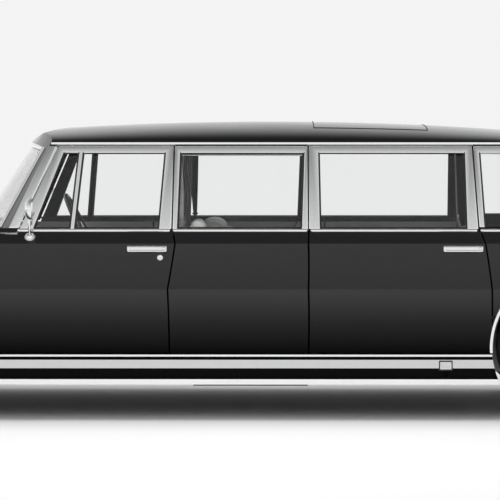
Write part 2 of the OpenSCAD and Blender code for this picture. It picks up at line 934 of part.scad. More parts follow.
// Round mirror on a stalk, standing on the shoulder ahead of the vent window
module door_mirror() {
    x = pillar_x - 55;
    foot_z = belt_z - 40;
    head_z = belt_z + 105;
    foot_y = side_y(foot_z);
    head_y = foot_y + 60;
    head_r = 58;
    stalk_r = 7;
    difference() {
        union() {
            translate([x, foot_y - 20, foot_z - 10])
                rotate([-35, 0, 0]) cylinder(r1 = 26, r2 = stalk_r + 4, h = 62);
            translate([x, foot_y + 8, foot_z + 22])
                rotate([-24, 0, 0]) cylinder(r = stalk_r, h = 90);
            translate([x - 14, head_y, head_z])
                rotate([0, 90, 0]) cylinder(r1 = head_r, r2 = head_r - 18, h = 34);
        }
        along_flank() flank_section(high = belt_z + 20);
    }
}

module front_fittings(side) {
    color("silver") on_side(side) {
        pull_handle(split_x + 18);
        door_mirror();
    }
}

module rear_fittings(side) {
    color("silver") on_side(side) pull_handle(quarter_x - 20);
}

// Running gear

arm_low = 232;
arm_high = 478;
arm_h = 28;
eye_r = 30;
stub_reach = 45;

module front_subframe() {
    rail_y = 380;
    rail_w = 60;
    rail_low = 330;
    rail_back = firewall_x + floor_t;
    rail_front = half_l - 250;
    color("dimgray") translate([front_axle_x, 0, 0]) {
        translate([-70, -rail_y - rail_w, arm_low - 10]) cube([140, 2 * (rail_y + rail_w), 110]);
        both_sides() {
            translate([rail_back - front_axle_x, rail_y, rail_low])
                cube([rail_front - rail_back, rail_w, 90]);
            translate([-60, rail_y, rail_low]) cube([120, rail_w, arm_high + arm_h - rail_low]);
            for (z = [arm_low, arm_high]) difference() {
                union() {
                    translate([-30, rail_y + 10, z]) cube([60, kingpin_y - rail_y - 10, arm_h]);
                    translate([0, kingpin_y, z]) cylinder(r = eye_r, h = arm_h);
                }
                translate([0, kingpin_y, z - 1]) cylinder(r = kingpin_r + run_gap, h = arm_h + 2);
            }
        }
    }
}

module knuckle(side) {
    steer_arm_l = 160;
    steer_arm_w = 30;
    steer_arm_z = 300;
    color("slategray") translate([front_axle_x, side * kingpin_y, 0]) {
        translate([0, 0, arm_low]) cylinder(r = kingpin_r, h = arm_high + arm_h - arm_low);
        translate([0, 0, arm_low + arm_h + run_gap])
            cylinder(r = eye_r, h = arm_high - arm_low - arm_h - 2 * run_gap);
        translate([0, 0, tyre_r])
            rotate([-90 * side, 0, 0]) cylinder(r = stub_r, h = kingpin_in + stub_reach);
        translate([-steer_arm_l, -steer_arm_w * (1 + side) / 2, steer_arm_z])
            cube([steer_arm_l, steer_arm_w, 24]);
    }
}

module rear_axle() {
    tube_r = 45;
    color("dimgray") translate([rear_axle_x, 0, tyre_r]) {
        rotate([90, 0, 0]) cylinder(r = tube_r, h = 2 * (wheel_y - 70), center = true);
        rotate([90, 0, 0]) cylinder(r = stub_r, h = 2 * (wheel_y + stub_reach), center = true);
        sphere(r = 140);
        both_sides() translate([0, 420, -60]) cube([kick_x - floor_t - rear_axle_x, 60, 60]);
    }
}

// Turned about the axle, as radius and distance outboard of the wheel's middle
module turned() {
    rotate([-90, 0, 0]) rotate_extrude($fn = 96) children();
}

module wheel() {
    rim_half_w = 92;
    flange_r = bead_r + 14;
    color("black") turned() {
        polygon([
            [bead_r - run_gap, -rim_half_w], [flange_r, -rim_half_w - 8], [flange_r, -rim_half_w - 2],
            [bead_r - run_gap, -70], [bead_r - run_gap, 70], [flange_r, rim_half_w + 2],
            [flange_r, rim_half_w + 8], [bead_r - run_gap, rim_half_w],
            [bead_r - 12, 66], [bead_r - 12, 40], [150, 26], [70, 40], [46, 52], [stub_r + run_gap, 52],
            [stub_r + run_gap, -10], [46, -10], [46, 20], [150, 12],
            [bead_r - 12, 20], [bead_r - 12, -66]
        ]);
        polygon([[0, 51], [40, 51], [46, 52], [128, 52], [130, 62], [112, 82], [70, 95], [0, 100]]);
    }
}

module tyre() {
    half = tyre_w / 2;
    color("#222222") turned() polygon([
        [bead_r, -68], [bead_r + 16, -90], [bead_r + 60, -half + 4], [bead_r + 100, -half],
        [tyre_r - 45, -half + 6], [tyre_r - 14, -half + 22], [tyre_r, -half + 46],
        [tyre_r, half - 46], [tyre_r - 14, half - 22], [tyre_r - 45, half - 6],
        [bead_r + 100, half], [bead_r + 60, half - 4], [bead_r + 16, 90], [bead_r, 68]
    ]);
}

module at_wheel(x, side) {
    on_side(side) translate([x, wheel_y, tyre_r]) children();
}

// Cabin

module seat_view(points) {
    across_seat = 2 * seat_half_w;
    rotate([90, 0, 0]) linear_extrude(height = across_seat, center = true) polygon(points);
}

// Bench from its rear foot, faced forward for dir 1 and rearward for dir -1
module bench(x, dir, depth) {
    seat_z = floor_z + cushion_h;
    top_z = floor_z + back_h;
    seat_view([
        [x, floor_z], [x + dir * depth, floor_z], [x + dir * depth, seat_z], [x + dir * 240, seat_z - 40],
        [x + dir * 130, top_z], [x + dir * 20, top_z], [x, top_z - 60]
    ]);
}

seat_front_x = split_x + 25;
seat_middle_x = split_x - 65;

module front_seat() {
    color("gray") bench(seat_front_x, 1, 520);
}

module middle_seat() {
    color("gray") bench(seat_middle_x, -1, 460);
}

module rear_seat() {
    seat_z = floor_z + cushion_h;
    top_z = floor_z + back_h + 30;
    back_foot = kick_x;
    color("gray") seat_view([
        [back_foot, floor_z], [back_foot + 480, floor_z], [back_foot + 480, seat_z],
        [back_foot + 60, seat_z - 40],
        [back_foot - 80, top_z], [back_foot - 190, top_z], [rear_axle_x + 50, 700],
        [rear_axle_x + 50, boot_floor_z], [back_foot, boot_floor_z]
    ]);
}

partition_x = split_x - 40;
partition_t = 20;

module partition_view(edge, low) {
    polygon([
        [-cabin_y + edge, low], [cabin_y - edge, low], [cabin_y - edge, belt_z],
        [glass_y(window_z) - frame_t - edge, window_z], [-glass_y(window_z) + frame_t + edge, window_z],
        [-cabin_y + edge, belt_z]
    ]);
}

module partition_window() {
    foot_half_w = cabin_y - 155;
    head_half_w = foot_half_w - 120;
    low = belt_z + 30;
    high = window_z - 40;
    polygon([[-foot_half_w, low], [foot_half_w, low], [head_half_w, high], [-head_half_w, high]]);
}

module partition() {
    color("sienna") lengthwise(partition_x - partition_t, partition_x) difference() {
        intersection() {
            partition_view(20, floor_z);
            square([2 * floor_half_w, big], center = true);
        }
        partition_window();
    }
}

module partition_glass() {
    color("lightblue", 0.4) lengthwise(partition_x - 13, partition_x - 7) partition_window();
}

column_y = 400;
column_x = pillar_x - 10;
column_z = 800;
column_l = 300;

module dashboard() {
    dash_x = pillar_x - 20;
    dash_z = belt_z - 36;
    dash_w = 1440;
    color("sienna") difference() {
        union() {
            rotate([90, 0, 0]) linear_extrude(height = dash_w, center = true) polygon([
                [dash_x, dash_z - 245], [dash_x, dash_z - 35], [dash_x + 60, dash_z], [firewall_x, dash_z],
                [firewall_x, dash_z - 155], [dash_x + 120, dash_z - 295]
            ]);
            translate([column_x, column_y, column_z]) rotate([0, -90 + column_tilt, 0])
                translate([0, 0, -60]) cylinder(r = 26, h = column_l + 30);
        }
        translate([column_x, column_y, column_z]) rotate([0, -90 + column_tilt, 0])
            translate([0, 0, column_l - 60]) cylinder(r = 12 + run_gap, h = 200);
    }
}

module steering_wheel() {
    spoke_w = 28;
    color("black") translate([column_x, column_y, column_z]) rotate([0, -90 + column_tilt, 0])
        translate([0, 0, column_l]) {
            translate([0, 0, -50]) cylinder(r = 12, h = 60);
            cylinder(r = 55, h = 30);
            translate([0, 0, 20])
                rotate_extrude($fn = 96) translate([wheel_rim_r, 0]) circle(r = 13, $fn = 24);
            for (a = [90, -90])
                rotate([0, 0, a]) translate([0, -spoke_w / 2, 13]) cube([wheel_rim_r, spoke_w, 14]);
        }
}

module engine() {
    mount_z = arm_low + 100;
    color("slategray") translate([front_axle_x, 0, 0]) union() {
        translate([-560, -150, mount_z]) cube([860, 300, 290]);
        translate([-520, -290, 480]) cube([700, 580, 270]);
        both_sides() translate([-100, 150, mount_z]) cube([120, 230, 60]);
    }
}

module exhaust() {
    pipe_y = 300;
    pipe_z = 160;
    pipe_r = 28;
    silencer_r = 35;
    silencer_x = split_x - 700;
    silencer_l = 600;
    hanger = 30;
    color("dimgray") translate([0, pipe_y, pipe_z]) {
        rotate([0, 90, 0]) {
            translate([0, 0, rear_axle_x + 520]) cylinder(r = pipe_r, h = door_x - rear_axle_x - 700);
            translate([0, 0, silencer_x]) cylinder(r = silencer_r, h = silencer_l);
        }
        for (x = [silencer_x + 60, silencer_x + silencer_l - 60])
            translate([x, -hanger / 2, 0]) cube([hanger, hanger, floor_low_z - pipe_z]);
    }
}

floor();
sills();
front_wings();
nose_panel();
cowl();
roof();
centre_panels();
rear_body();
windscreen();
rear_window();
fixed_side_glass();
drip_rails();
sill_mouldings();
grille();
front_bumper();
rear_bumper();
lamp_bezels();
lamp_lenses();
tail_lamps();
bonnet();
boot_lid();
front_door(1);  // door_front_left
front_door(-1);  // door_front_right
rear_door(1);  // door_rear_left
rear_door(-1);  // door_rear_right
front_panes(1);  // glass_front_left
front_panes(-1);  // glass_front_right
rear_pane(1);  // glass_rear_left
rear_pane(-1);  // glass_rear_right
front_fittings(1);  // fittings_front_left
front_fittings(-1);  // fittings_front_right
rear_fittings(1);  // fittings_rear_left
rear_fittings(-1);  // fittings_rear_right
front_subframe();
rear_axle();
knuckle(1);  // knuckle_left
knuckle(-1);  // knuckle_right
at_wheel(front_axle_x, 1) wheel();  // wheel_front_left
at_wheel(front_axle_x, -1) wheel();  // wheel_front_right
at_wheel(rear_axle_x, 1) wheel();  // wheel_rear_left
at_wheel(rear_axle_x, -1) wheel();  // wheel_rear_right
at_wheel(front_axle_x, 1) tyre();  // tyre_front_left
at_wheel(front_axle_x, -1) tyre();  // tyre_front_right
at_wheel(rear_axle_x, 1) tyre();  // tyre_rear_left
at_wheel(rear_axle_x, -1) tyre();  // tyre_rear_right
front_seat();
middle_seat();
rear_seat();
partition();
partition_glass();
dashboard();
steering_wheel();
engine();
exhaust();
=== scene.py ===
import json
import math
import bpy
from mathutils import Matrix, Vector

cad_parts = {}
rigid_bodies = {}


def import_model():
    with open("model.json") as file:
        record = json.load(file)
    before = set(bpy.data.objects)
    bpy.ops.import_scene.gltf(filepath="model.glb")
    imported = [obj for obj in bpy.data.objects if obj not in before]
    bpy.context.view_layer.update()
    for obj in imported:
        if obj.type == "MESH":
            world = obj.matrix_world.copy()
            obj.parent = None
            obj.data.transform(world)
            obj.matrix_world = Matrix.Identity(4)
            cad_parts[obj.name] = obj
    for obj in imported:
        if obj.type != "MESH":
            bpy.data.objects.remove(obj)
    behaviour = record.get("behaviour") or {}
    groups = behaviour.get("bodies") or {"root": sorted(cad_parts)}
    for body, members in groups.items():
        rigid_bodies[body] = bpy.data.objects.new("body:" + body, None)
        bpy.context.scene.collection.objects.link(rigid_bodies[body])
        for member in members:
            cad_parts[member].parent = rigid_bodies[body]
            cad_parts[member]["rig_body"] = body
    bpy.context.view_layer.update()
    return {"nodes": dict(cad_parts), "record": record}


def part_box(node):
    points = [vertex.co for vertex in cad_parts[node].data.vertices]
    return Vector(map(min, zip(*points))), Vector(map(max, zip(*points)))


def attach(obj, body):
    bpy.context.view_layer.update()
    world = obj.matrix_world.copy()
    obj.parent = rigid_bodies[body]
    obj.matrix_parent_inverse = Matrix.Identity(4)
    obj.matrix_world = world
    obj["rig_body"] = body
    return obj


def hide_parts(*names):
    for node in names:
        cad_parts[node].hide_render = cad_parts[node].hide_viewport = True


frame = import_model()
nodes = frame["nodes"]
scene = bpy.context.scene
scene.view_settings.view_transform = "Standard"
print("frame loaded with", len(nodes), "nodes")

sides = (("left", 1), ("right", -1))
ends = ("front", "rear")
outward = (0, 1, 0)                     # away from the car on its left side
upward = (0, 0, 1)
mirrorAcross = Matrix.Scale(-1, 4, outward)


# places that many pieces share, read back from the frame

def middleOf(node, axis):
    low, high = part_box(node)
    return low[axis] / 2 + high[axis] / 2


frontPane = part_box("glass_front_left")
paneNormal = max(nodes["glass_rear_left"].data.polygons, key=lambda f: f.area).normal
car = {
    "belt": frontPane[0].z,
    "paneOut": Vector((0, abs(paneNormal.y), abs(paneNormal.z))),
    "axleFront": middleOf("tyre_front_left", 0),
    "axleRear": middleOf("tyre_rear_left", 0),
    "tyreRadius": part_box("tyre_front_left")[1].z / 2,
    "wheelMiddle": middleOf("tyre_front_left", 1),
}


# shader helpers

def addNode(tree, kind, inputs=None, **values):
    node = tree.nodes.new("ShaderNode" + kind)
    for key, value in values.items():
        setattr(node, key, value)
    for key, value in (inputs or {}).items():
        node.inputs[key].default_value = value
    return node


def wire(tree, *pairs):
    for source, target in pairs:
        tree.links.new(source, target)


def grey(level):
    return (level, level, level, 1)


# colour ramp between two sockets
def addRamp(tree, value, stops, target):
    ramp = addNode(tree, "ValToRGB")
    marks = ramp.color_ramp.elements
    while len(marks) < len(stops):
        marks.new(0.5)
    for mark, (place, colour) in zip(marks, stops):
        mark.position = place
        mark.color = colour
    wire(tree, (value, ramp.inputs["Fac"]), (ramp.outputs["Color"], target))
    return ramp


def heightIn(tree, space):
    coord = addNode(tree, "TexCoord")
    split = addNode(tree, "SeparateXYZ")
    wire(tree, (coord.outputs[space], split.inputs[0]))
    return split.outputs["Z"]


def newFinish(name, colour, roughness, metallic=0.0):
    mat = bpy.data.materials.new(name)
    mat.use_nodes = True
    bsdf = mat.node_tree.nodes["Principled BSDF"]
    bsdf.inputs["Base Color"].default_value = (*colour, 1)
    bsdf.inputs["Roughness"].default_value = roughness
    bsdf.inputs["Metallic"].default_value = metallic
    return mat, mat.node_tree, bsdf


# modelling helpers

shop = {
    "nodeMerge": 0.00002,               # doubles closer than this are merged in a copied node
    "spunMerge": 0.00005,
    "flatAngle": 1.0,
    "bevelAngle": 40,
    "smoothAngle": 35,
    "tubeRounds": 3,
    "square": 0.99,                     # a face counts as looking one way above this
}


def takeHold(piece):
    bpy.ops.object.select_all(action="DESELECT")
    piece.select_set(True)
    bpy.context.view_layer.objects.active = piece


def openMesh(piece):
    takeHold(piece)
    bpy.ops.object.mode_set(mode="EDIT")
    bpy.ops.mesh.select_all(action="SELECT")


def closeMesh():
    bpy.ops.object.mode_set(mode="OBJECT")


def copyNode(node, name):
    piece = nodes[node].copy()
    piece.data = nodes[node].data.copy()
    piece.name = name
    piece.data.name = name
    for key in list(piece.keys()):
        del piece[key]
    piece.parent = None
    scene.collection.objects.link(piece)
    openMesh(piece)
    bpy.ops.mesh.customdata_custom_splitnormals_clear()
    bpy.ops.mesh.remove_doubles(threshold=shop["nodeMerge"])
    closeMesh()
    return piece


def chooseFaces(piece, rule):
    takeHold(piece)
    bpy.ops.object.mode_set(mode="EDIT")
    bpy.ops.mesh.select_mode(type="FACE")
    bpy.ops.mesh.select_all(action="DESELECT")
    closeMesh()
    for face in piece.data.polygons:
        face.select = rule(face.center, face.normal)
    bpy.ops.object.mode_set(mode="EDIT")


def keepFaces(piece, rule):
    chooseFaces(piece, rule)
    bpy.ops.mesh.select_all(action="INVERT")
    bpy.ops.mesh.delete(type="FACE")
    bpy.ops.mesh.select_all(action="SELECT")
    bpy.ops.mesh.dissolve_limited(angle_limit=math.radians(shop["flatAngle"]))


# sinks the middle of the face that looks outwards
def dishFront(piece, border, depth):
    chooseFaces(piece, lambda c, n: n.y > shop["square"])
    bpy.ops.mesh.inset(thickness=border, depth=depth)
    closeMesh()


def applyModifier(piece, kind, **values):
    takeHold(piece)
    mod = piece.modifiers.new(kind.lower(), kind)
    for key, value in values.items():
        setattr(mod, key, value)
    bpy.ops.object.modifier_apply(modifier=mod.name)


def finishPiece(piece, body, slotName, finish=None, smoothAngle=shop["smoothAngle"]):
    takeHold(piece)
    piece.data.materials.clear()
    piece.data.materials.append(finish or finishes[slotName])
    bpy.ops.object.transform_apply(location=True, rotation=True, scale=True)
    bpy.ops.object.shade_smooth_by_angle(angle=math.radians(smoothAngle))
    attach(piece, body)
    return piece


# another of the same piece, with its own mesh, moved or mirrored
def placedCopy(piece, name, body, matrix):
    mesh = piece.data.copy()
    mesh.name = name
    mesh.transform(matrix)
    if matrix.determinant() < 0:
        mesh.flip_normals()
    other = bpy.data.objects.new(name, mesh)
    scene.collection.objects.link(other)
    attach(other, body)
    return other


def bodyOf(node):
    return nodes[node]["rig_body"]


# the piece on the left of a panel, and its mirrored twin on the right
def bothSides(piece, label, panel, slotName, finish=None, smoothAngle=shop["smoothAngle"]):
    left, right = ((panel + "_left", panel + "_right") if panel.startswith("door") else (panel, panel))
    piece.name = label + "_left"
    finishPiece(piece, bodyOf(left), slotName, finish, smoothAngle)
    return piece, placedCopy(piece, label + "_right", bodyOf(right), mirrorAcross)


# plate that follows the chosen faces of a solid, with a raised field inside a narrow border
def platedFaces(name, node, rule, plate, slotName, finish=None):
    piece = copyNode(node, name)
    keepFaces(piece, rule)
    even = plate.get("even", True)
    if plate.get("below"):
        bpy.ops.mesh.select_all(action="SELECT")
        bpy.ops.mesh.bisect(plane_co=(0, 0, plate["below"]), plane_no=upward, clear_outer=True)
        bpy.ops.mesh.select_all(action="SELECT")
    if plate.get("border"):
        bpy.ops.mesh.inset(thickness=plate["border"], depth=plate["rise"], use_even_offset=even)
    closeMesh()
    applyModifier(piece, "SOLIDIFY", thickness=plate["thick"], offset=1.0, use_even_offset=even)
    if plate.get("bevel"):
        applyModifier(piece, "BEVEL", width=plate["bevel"], segments=2, limit_method="ANGLE",
                      angle_limit=math.radians(shop["bevelAngle"]))
    return finishPiece(piece, bodyOf(node), slotName, finish)


# round section laid along the rim of the chosen faces
def rimTube(name, node, rule, tube, slotName, finish=None):
    piece = copyNode(node, name)
    keepFaces(piece, rule)
    bpy.ops.transform.shrink_fatten(value=tube["out"])
    bpy.ops.mesh.select_mode(type="EDGE")
    bpy.ops.mesh.select_all(action="SELECT")
    bpy.ops.mesh.region_to_loop()
    bpy.ops.mesh.select_all(action="INVERT")
    bpy.ops.mesh.delete(type="EDGE")
    closeMesh()
    bpy.ops.object.convert(target="CURVE")
    piece.data.bevel_depth = tube["radius"]
    piece.data.bevel_resolution = shop["tubeRounds"]
    bpy.ops.object.convert(target="MESH")
    return finishPiece(bpy.context.object, bodyOf(node), slotName, finish)


# bar of a box section with rounded edges
def roundedBar(name, low, high, rounding, segments=3):
    low, high = Vector(low), Vector(high)
    bpy.ops.object.select_all(action="DESELECT")
    bpy.ops.mesh.primitive_cube_add(size=1, location=(low + high) / 2)
    piece = bpy.context.object
    piece.name = name
    piece.scale = high - low
    bpy.ops.object.transform_apply(location=True, rotation=True, scale=True)
    openMesh(piece)
    bpy.ops.mesh.bevel(offset=rounding, segments=segments, affect="EDGES")
    closeMesh()
    return piece


# outline of radius and distance along an axis, extruded point by point and spun round the axis
def spunAbout(name, outline, centre, axis, steps=72):
    centre, axis = Vector(centre), Vector(axis).normalized()
    across = axis.orthogonal().normalized()
    spots = [centre + axis * along + across * radius for radius, along in outline]
    bpy.ops.object.select_all(action="DESELECT")
    bpy.ops.mesh.primitive_plane_add(size=0.001, location=(0, 0, 0))
    piece = bpy.context.object
    piece.name = name
    bpy.ops.object.mode_set(mode="EDIT")
    bpy.ops.mesh.select_mode(type="VERT")
    bpy.ops.mesh.select_all(action="SELECT")
    bpy.ops.mesh.merge(type="CENTER")
    bpy.ops.transform.translate(value=spots[0])
    for before, after in zip(spots, spots[1:]):
        bpy.ops.mesh.extrude_region_move(TRANSFORM_OT_translate={"value": after - before})
    bpy.ops.mesh.select_all(action="SELECT")
    bpy.ops.mesh.spin(steps=steps, angle=2 * math.pi, center=centre, axis=axis)
    bpy.ops.mesh.select_all(action="SELECT")
    bpy.ops.mesh.remove_doubles(threshold=shop["spunMerge"])
    bpy.ops.mesh.normals_make_consistent(inside=False)
    closeMesh()
    return piece


# round bar along a line of points
def bentRod(name, points, radius):
    line = bpy.data.curves.new(name, "CURVE")
    line.dimensions = "3D"
    run = line.splines.new("POLY")
    run.points.add(len(points) - 1)
    for spot, place in zip(run.points, points):
        spot.co = (*place, 1)
    line.bevel_depth = radius
    line.bevel_resolution = shop["tubeRounds"]
    line.use_fill_caps = True
    piece = bpy.data.objects.new(name, line)
    scene.collection.objects.link(piece)
    takeHold(piece)
    bpy.ops.object.convert(target="MESH")
    return bpy.context.object


def freshGrid(name, across, down, size=2):
    bpy.ops.object.select_all(action="DESELECT")
    bpy.ops.mesh.primitive_grid_add(x_subdivisions=across, y_subdivisions=down, size=size)
    piece = bpy.context.object
    piece.name = name
    return piece


def joined(name, pieces):
    bpy.ops.object.select_all(action="DESELECT")
    for piece in pieces:
        piece.select_set(True)
    bpy.context.view_layer.objects.active = pieces[0]
    bpy.ops.object.join()
    bpy.context.object.name = name
    return bpy.context.object


# camera and light

photoView = {
    "eye": (-0.138, 17.55, 1.62),       # where the photograph was taken from
    "target": (-0.047, 0.95, 0.868),    # middle of the frame on the near flank
    "lens": 237.0,
    "sensor": 36.0,
    "far": 400,
}
studio = {
    "backdrop": 0.9,                    # level behind the car, 1 is white
    "sky": ((0.05, 1.0), (0.62, 0.55), (0.95, 0.22)),      # level of the world from horizon to zenith
    "panels": {
        "roofPanel": {"size": (9.0, 6.0), "place": (0, 0.8, 5.5), "target": (0, 0, 0), "power": 330},
        "frontPanel": {"size": (9.0, 3.5), "place": (0.5, 9.0, 4.2), "target": (0, 0, 0.6), "power": 240},
    },
    "floorSize": 160.0,
    "floorCuts": 8,
    "floorTone": 0.86,
    "floorRoughness": 0.9,
    "floorGloss": 0.1,
    "fadeFrom": 3.6,                    # the shaded floor runs into the backdrop from here
    "fadeTo": 7.5,
    "fadeSqueeze": (0.55, 1, 1),        # and further out along the car than across it
}


def aimed(place, target):
    return (Vector(target) - Vector(place)).to_track_quat("-Z", "Y").to_euler()


def addCamera():
    data = bpy.data.cameras.new("photoCamera")
    data.lens = photoView["lens"]
    data.sensor_width = photoView["sensor"]
    data.clip_end = photoView["far"]
    eye = bpy.data.objects.new("photoCamera", data)
    scene.collection.objects.link(eye)
    eye.location = photoView["eye"]
    eye.rotation_euler = aimed(photoView["eye"], photoView["target"])
    scene.camera = eye


def addSoftPanel(name, panel):
    data = bpy.data.lights.new(name, "AREA")
    data.shape = "RECTANGLE"
    data.size, data.size_y = panel["size"]
    data.energy = panel["power"]
    lamp = bpy.data.objects.new(name, data)
    scene.collection.objects.link(lamp)
    lamp.location = panel["place"]
    lamp.rotation_euler = aimed(panel["place"], panel["target"])
    lamp.visible_camera = False
    lamp.visible_glossy = False         # the lacquer mirrors the gradient of the world instead


def addWorld():
    world = bpy.data.worlds.new("studioWorld")
    scene.world = world
    world.use_nodes = True
    tree = world.node_tree
    tree.nodes.clear()
    out = addNode(tree, "OutputWorld")
    shade = addNode(tree, "Background")
    plain = addNode(tree, "Background", {"Color": grey(studio["backdrop"])})
    mix = addNode(tree, "MixShader")
    paths = addNode(tree, "LightPath")
    seen = addNode(tree, "Math", operation="MAXIMUM")
    sky = [(height, grey(level)) for height, level in studio["sky"]]
    addRamp(tree, heightIn(tree, "Generated"), sky, shade.inputs["Color"])
    wire(tree,
         (paths.outputs["Is Camera Ray"], seen.inputs[0]),
         (paths.outputs["Is Transmission Ray"], seen.inputs[1]),
         (seen.outputs[0], mix.inputs["Fac"]),
         (shade.outputs[0], mix.inputs[1]),
         (plain.outputs[0], mix.inputs[2]),
         (mix.outputs[0], out.inputs["Surface"]))


def addFloor():
    floor = freshGrid("studioFloor", studio["floorCuts"], studio["floorCuts"], studio["floorSize"])
    mat, tree, bsdf = newFinish("paleFloor", [studio["floorTone"]] * 3, studio["floorRoughness"])
    bsdf.inputs["Specular IOR Level"].default_value = studio["floorGloss"]
    glow = addNode(tree, "Emission", {"Color": grey(studio["backdrop"])})
    coord = addNode(tree, "TexCoord")
    squeeze = addNode(tree, "Mapping", {"Scale": studio["fadeSqueeze"]})
    reach = addNode(tree, "VectorMath", operation="LENGTH")
    fade = addNode(tree, "MapRange", {"From Min": studio["fadeFrom"], "From Max": studio["fadeTo"]},
                   interpolation_type="SMOOTHSTEP")
    mix = addNode(tree, "MixShader")
    wire(tree,
         (coord.outputs["Object"], squeeze.inputs["Vector"]),
         (squeeze.outputs["Vector"], reach.inputs[0]),
         (reach.outputs["Value"], fade.inputs["Value"]),
         (fade.outputs["Result"], mix.inputs["Fac"]),
         (bsdf.outputs["BSDF"], mix.inputs[1]),
         (glow.outputs["Emission"], mix.inputs[2]),
         (mix.outputs["Shader"], tree.nodes["Material Output"].inputs["Surface"]))
    floor.data.materials.append(mat)


addCamera()
addWorld()
addFloor()
for name, panel in studio["panels"].items():
    addSoftPanel(name, panel)
print("camera, world, floor and lamps are set")


# node group for the slow drift and fine grain that the finishes share

drift = {
    "sockets": (("Scale", "Drift", 3.0), ("Fine Scale", "Grain", 300.0)),
    "detail": 4,
    "roughSpan": (0.3, 0.7),            # part of the noise that roughness and tone run over
    "toneSpan": (0.35, 0.65),
    "roughShare": (0.85, 1.15),
    "grainDepth": 0.001,
}


def makeDriftGroup():
    group = bpy.data.node_groups.new("surfaceDrift", "ShaderNodeTree")
    for name, result, value in drift["sockets"]:
        socket = group.interface.new_socket(name=name, in_out="INPUT", socket_type="NodeSocketFloat")
        socket.default_value = value
        group.interface.new_socket(name=result, in_out="OUTPUT", socket_type="NodeSocketFloat")
    start = group.nodes.new("NodeGroupInput")
    stop = group.nodes.new("NodeGroupOutput")
    coord = addNode(group, "TexCoord")
    for name, result, value in drift["sockets"]:
        noise = addNode(group, "TexNoise", {"Detail": drift["detail"]})
        wire(group,
             (coord.outputs["Object"], noise.inputs["Vector"]),
             (start.outputs[name], noise.inputs["Scale"]),
             (noise.outputs["Fac"], stop.inputs[result]))
    return group


driftGroup = makeDriftGroup()


def addDrift(tree, scale, fineScale):
    return addNode(tree, "Group", {"Scale": scale, "Fine Scale": fineScale}, node_tree=driftGroup)


def varyRoughness(tree, bsdf, noise, low, high):
    start, stop = drift["roughSpan"]
    span = addNode(tree, "MapRange", {"From Min": start, "From Max": stop, "To Min": low, "To Max": high})
    wire(tree,
         (noise.outputs["Drift"], span.inputs["Value"]),
         (span.outputs["Result"], bsdf.inputs["Roughness"]))


def varyColour(tree, bsdf, value, first, second):
    start, stop = drift["toneSpan"]
    addRamp(tree, value, [(start, (*first, 1)), (stop, (*second, 1))], bsdf.inputs["Base Color"])


def addBump(tree, bsdf, height, strength, distance):
    bump = addNode(tree, "Bump", {"Strength": strength, "Distance": distance})
    wire(tree, (height, bump.inputs["Height"]), (bump.outputs["Normal"], bsdf.inputs["Normal"]))


# finishes: sheen is the roughness where the drift is low and high

lacquer = {
    "colour": (0.0022, 0.0022, 0.0026),
    "roughness": 0.3,
    "sheen": (0.26, 0.36),
    "coatRoughness": 0.03,
    "underlay": 0.1,                    # gloss of the paint below the clear coat
    "drift": (2.5, 900),
    "bump": (0.015, 0.0004),
    "from": 0.18,
    "to": 1.54,
    # strength of the clear coat at some heights, which paints shade into the lacquer's reflections: they
    # fade below the crease towards the sill and weaken over the roof, and a painted highlight runs just
    # under the crease
    "coat": ((0.20, 0.07), (0.30, 0.07), (0.345, 0.012), (0.50, 0.36), (0.665, 1.0), (0.675, 0.68),
             (0.88, 0.96), (0.95, 1.0), (1.38, 0.75), (1.50, 0.6)),
}


def shadedBlackLacquer():
    mat, tree, bsdf = newFinish("shadedBlackLacquer", lacquer["colour"], lacquer["roughness"])
    bsdf.inputs["Coat Roughness"].default_value = lacquer["coatRoughness"]
    low, high = lacquer["from"], lacquer["to"]
    height = addNode(tree, "MapRange", {"From Min": low, "From Max": high})
    wire(tree, (heightIn(tree, "Object"), height.inputs["Value"]))
    stops = [((z - low) / (high - low), grey(weight)) for z, weight in lacquer["coat"]]
    ramp = addRamp(tree, height.outputs["Result"], stops, bsdf.inputs["Coat Weight"])
    # the gloss of the paint under the coat follows the same ramp, so it carries the painted shade too
    shadedGloss = addNode(tree, "Math", {1: lacquer["underlay"]}, operation="MULTIPLY")
    wire(tree,
         (ramp.outputs["Color"], shadedGloss.inputs[0]),
         (shadedGloss.outputs[0], bsdf.inputs["Specular IOR Level"]))
    noise = addDrift(tree, *lacquer["drift"])
    varyRoughness(tree, bsdf, noise, *lacquer["sheen"])
    addBump(tree, bsdf, noise.outputs["Grain"], *lacquer["bump"])
    return mat


plating = {
    "colour": (0.86, 0.865, 0.87),
    "dull": (0.82, 0.825, 0.83),
    "clean": (0.88, 0.885, 0.89),
    "roughness": 0.08,
    "sheen": (0.05, 0.13),
    "drift": (6, 140),
}


def brightPlating():
    mat, tree, bsdf = newFinish("brightPlating", plating["colour"], plating["roughness"], 1.0)
    noise = addDrift(tree, *plating["drift"])
    varyRoughness(tree, bsdf, noise, *plating["sheen"])
    varyColour(tree, bsdf, noise.outputs["Grain"], plating["dull"], plating["clean"])
    return mat


# the sill's chrome is darker from 0.25 to 0.32 m up: painted shade for the shadow under the car that the
# wide strip reflects
sillBands = {
    "tonesWithShade": ((0.0, 0.84), (0.25, 0.62), (0.32, 0.84)),    # tone from each height on
    "blue": 1.01,
    "roughness": 0.12,
    "sheen": (0.08, 0.2),
    "drift": (5, 200),
}


def shadedSillPlating():
    mat, tree, bsdf = newFinish("shadedSillPlating", plating["colour"], sillBands["roughness"], 1.0)
    stops = [(z, (tone, tone, tone * sillBands["blue"], 1)) for z, tone in sillBands["tonesWithShade"]]
    ramp = addRamp(tree, heightIn(tree, "Object"), stops, bsdf.inputs["Base Color"])
    ramp.color_ramp.interpolation = "CONSTANT"
    varyRoughness(tree, bsdf, addDrift(tree, *sillBands["drift"]), *sillBands["sheen"])
    return mat


paneGlass = {"colour": (0.97, 0.98, 0.975), "ior": 1.35, "sheen": (0.0, 0.012), "drift": (4, 60)}


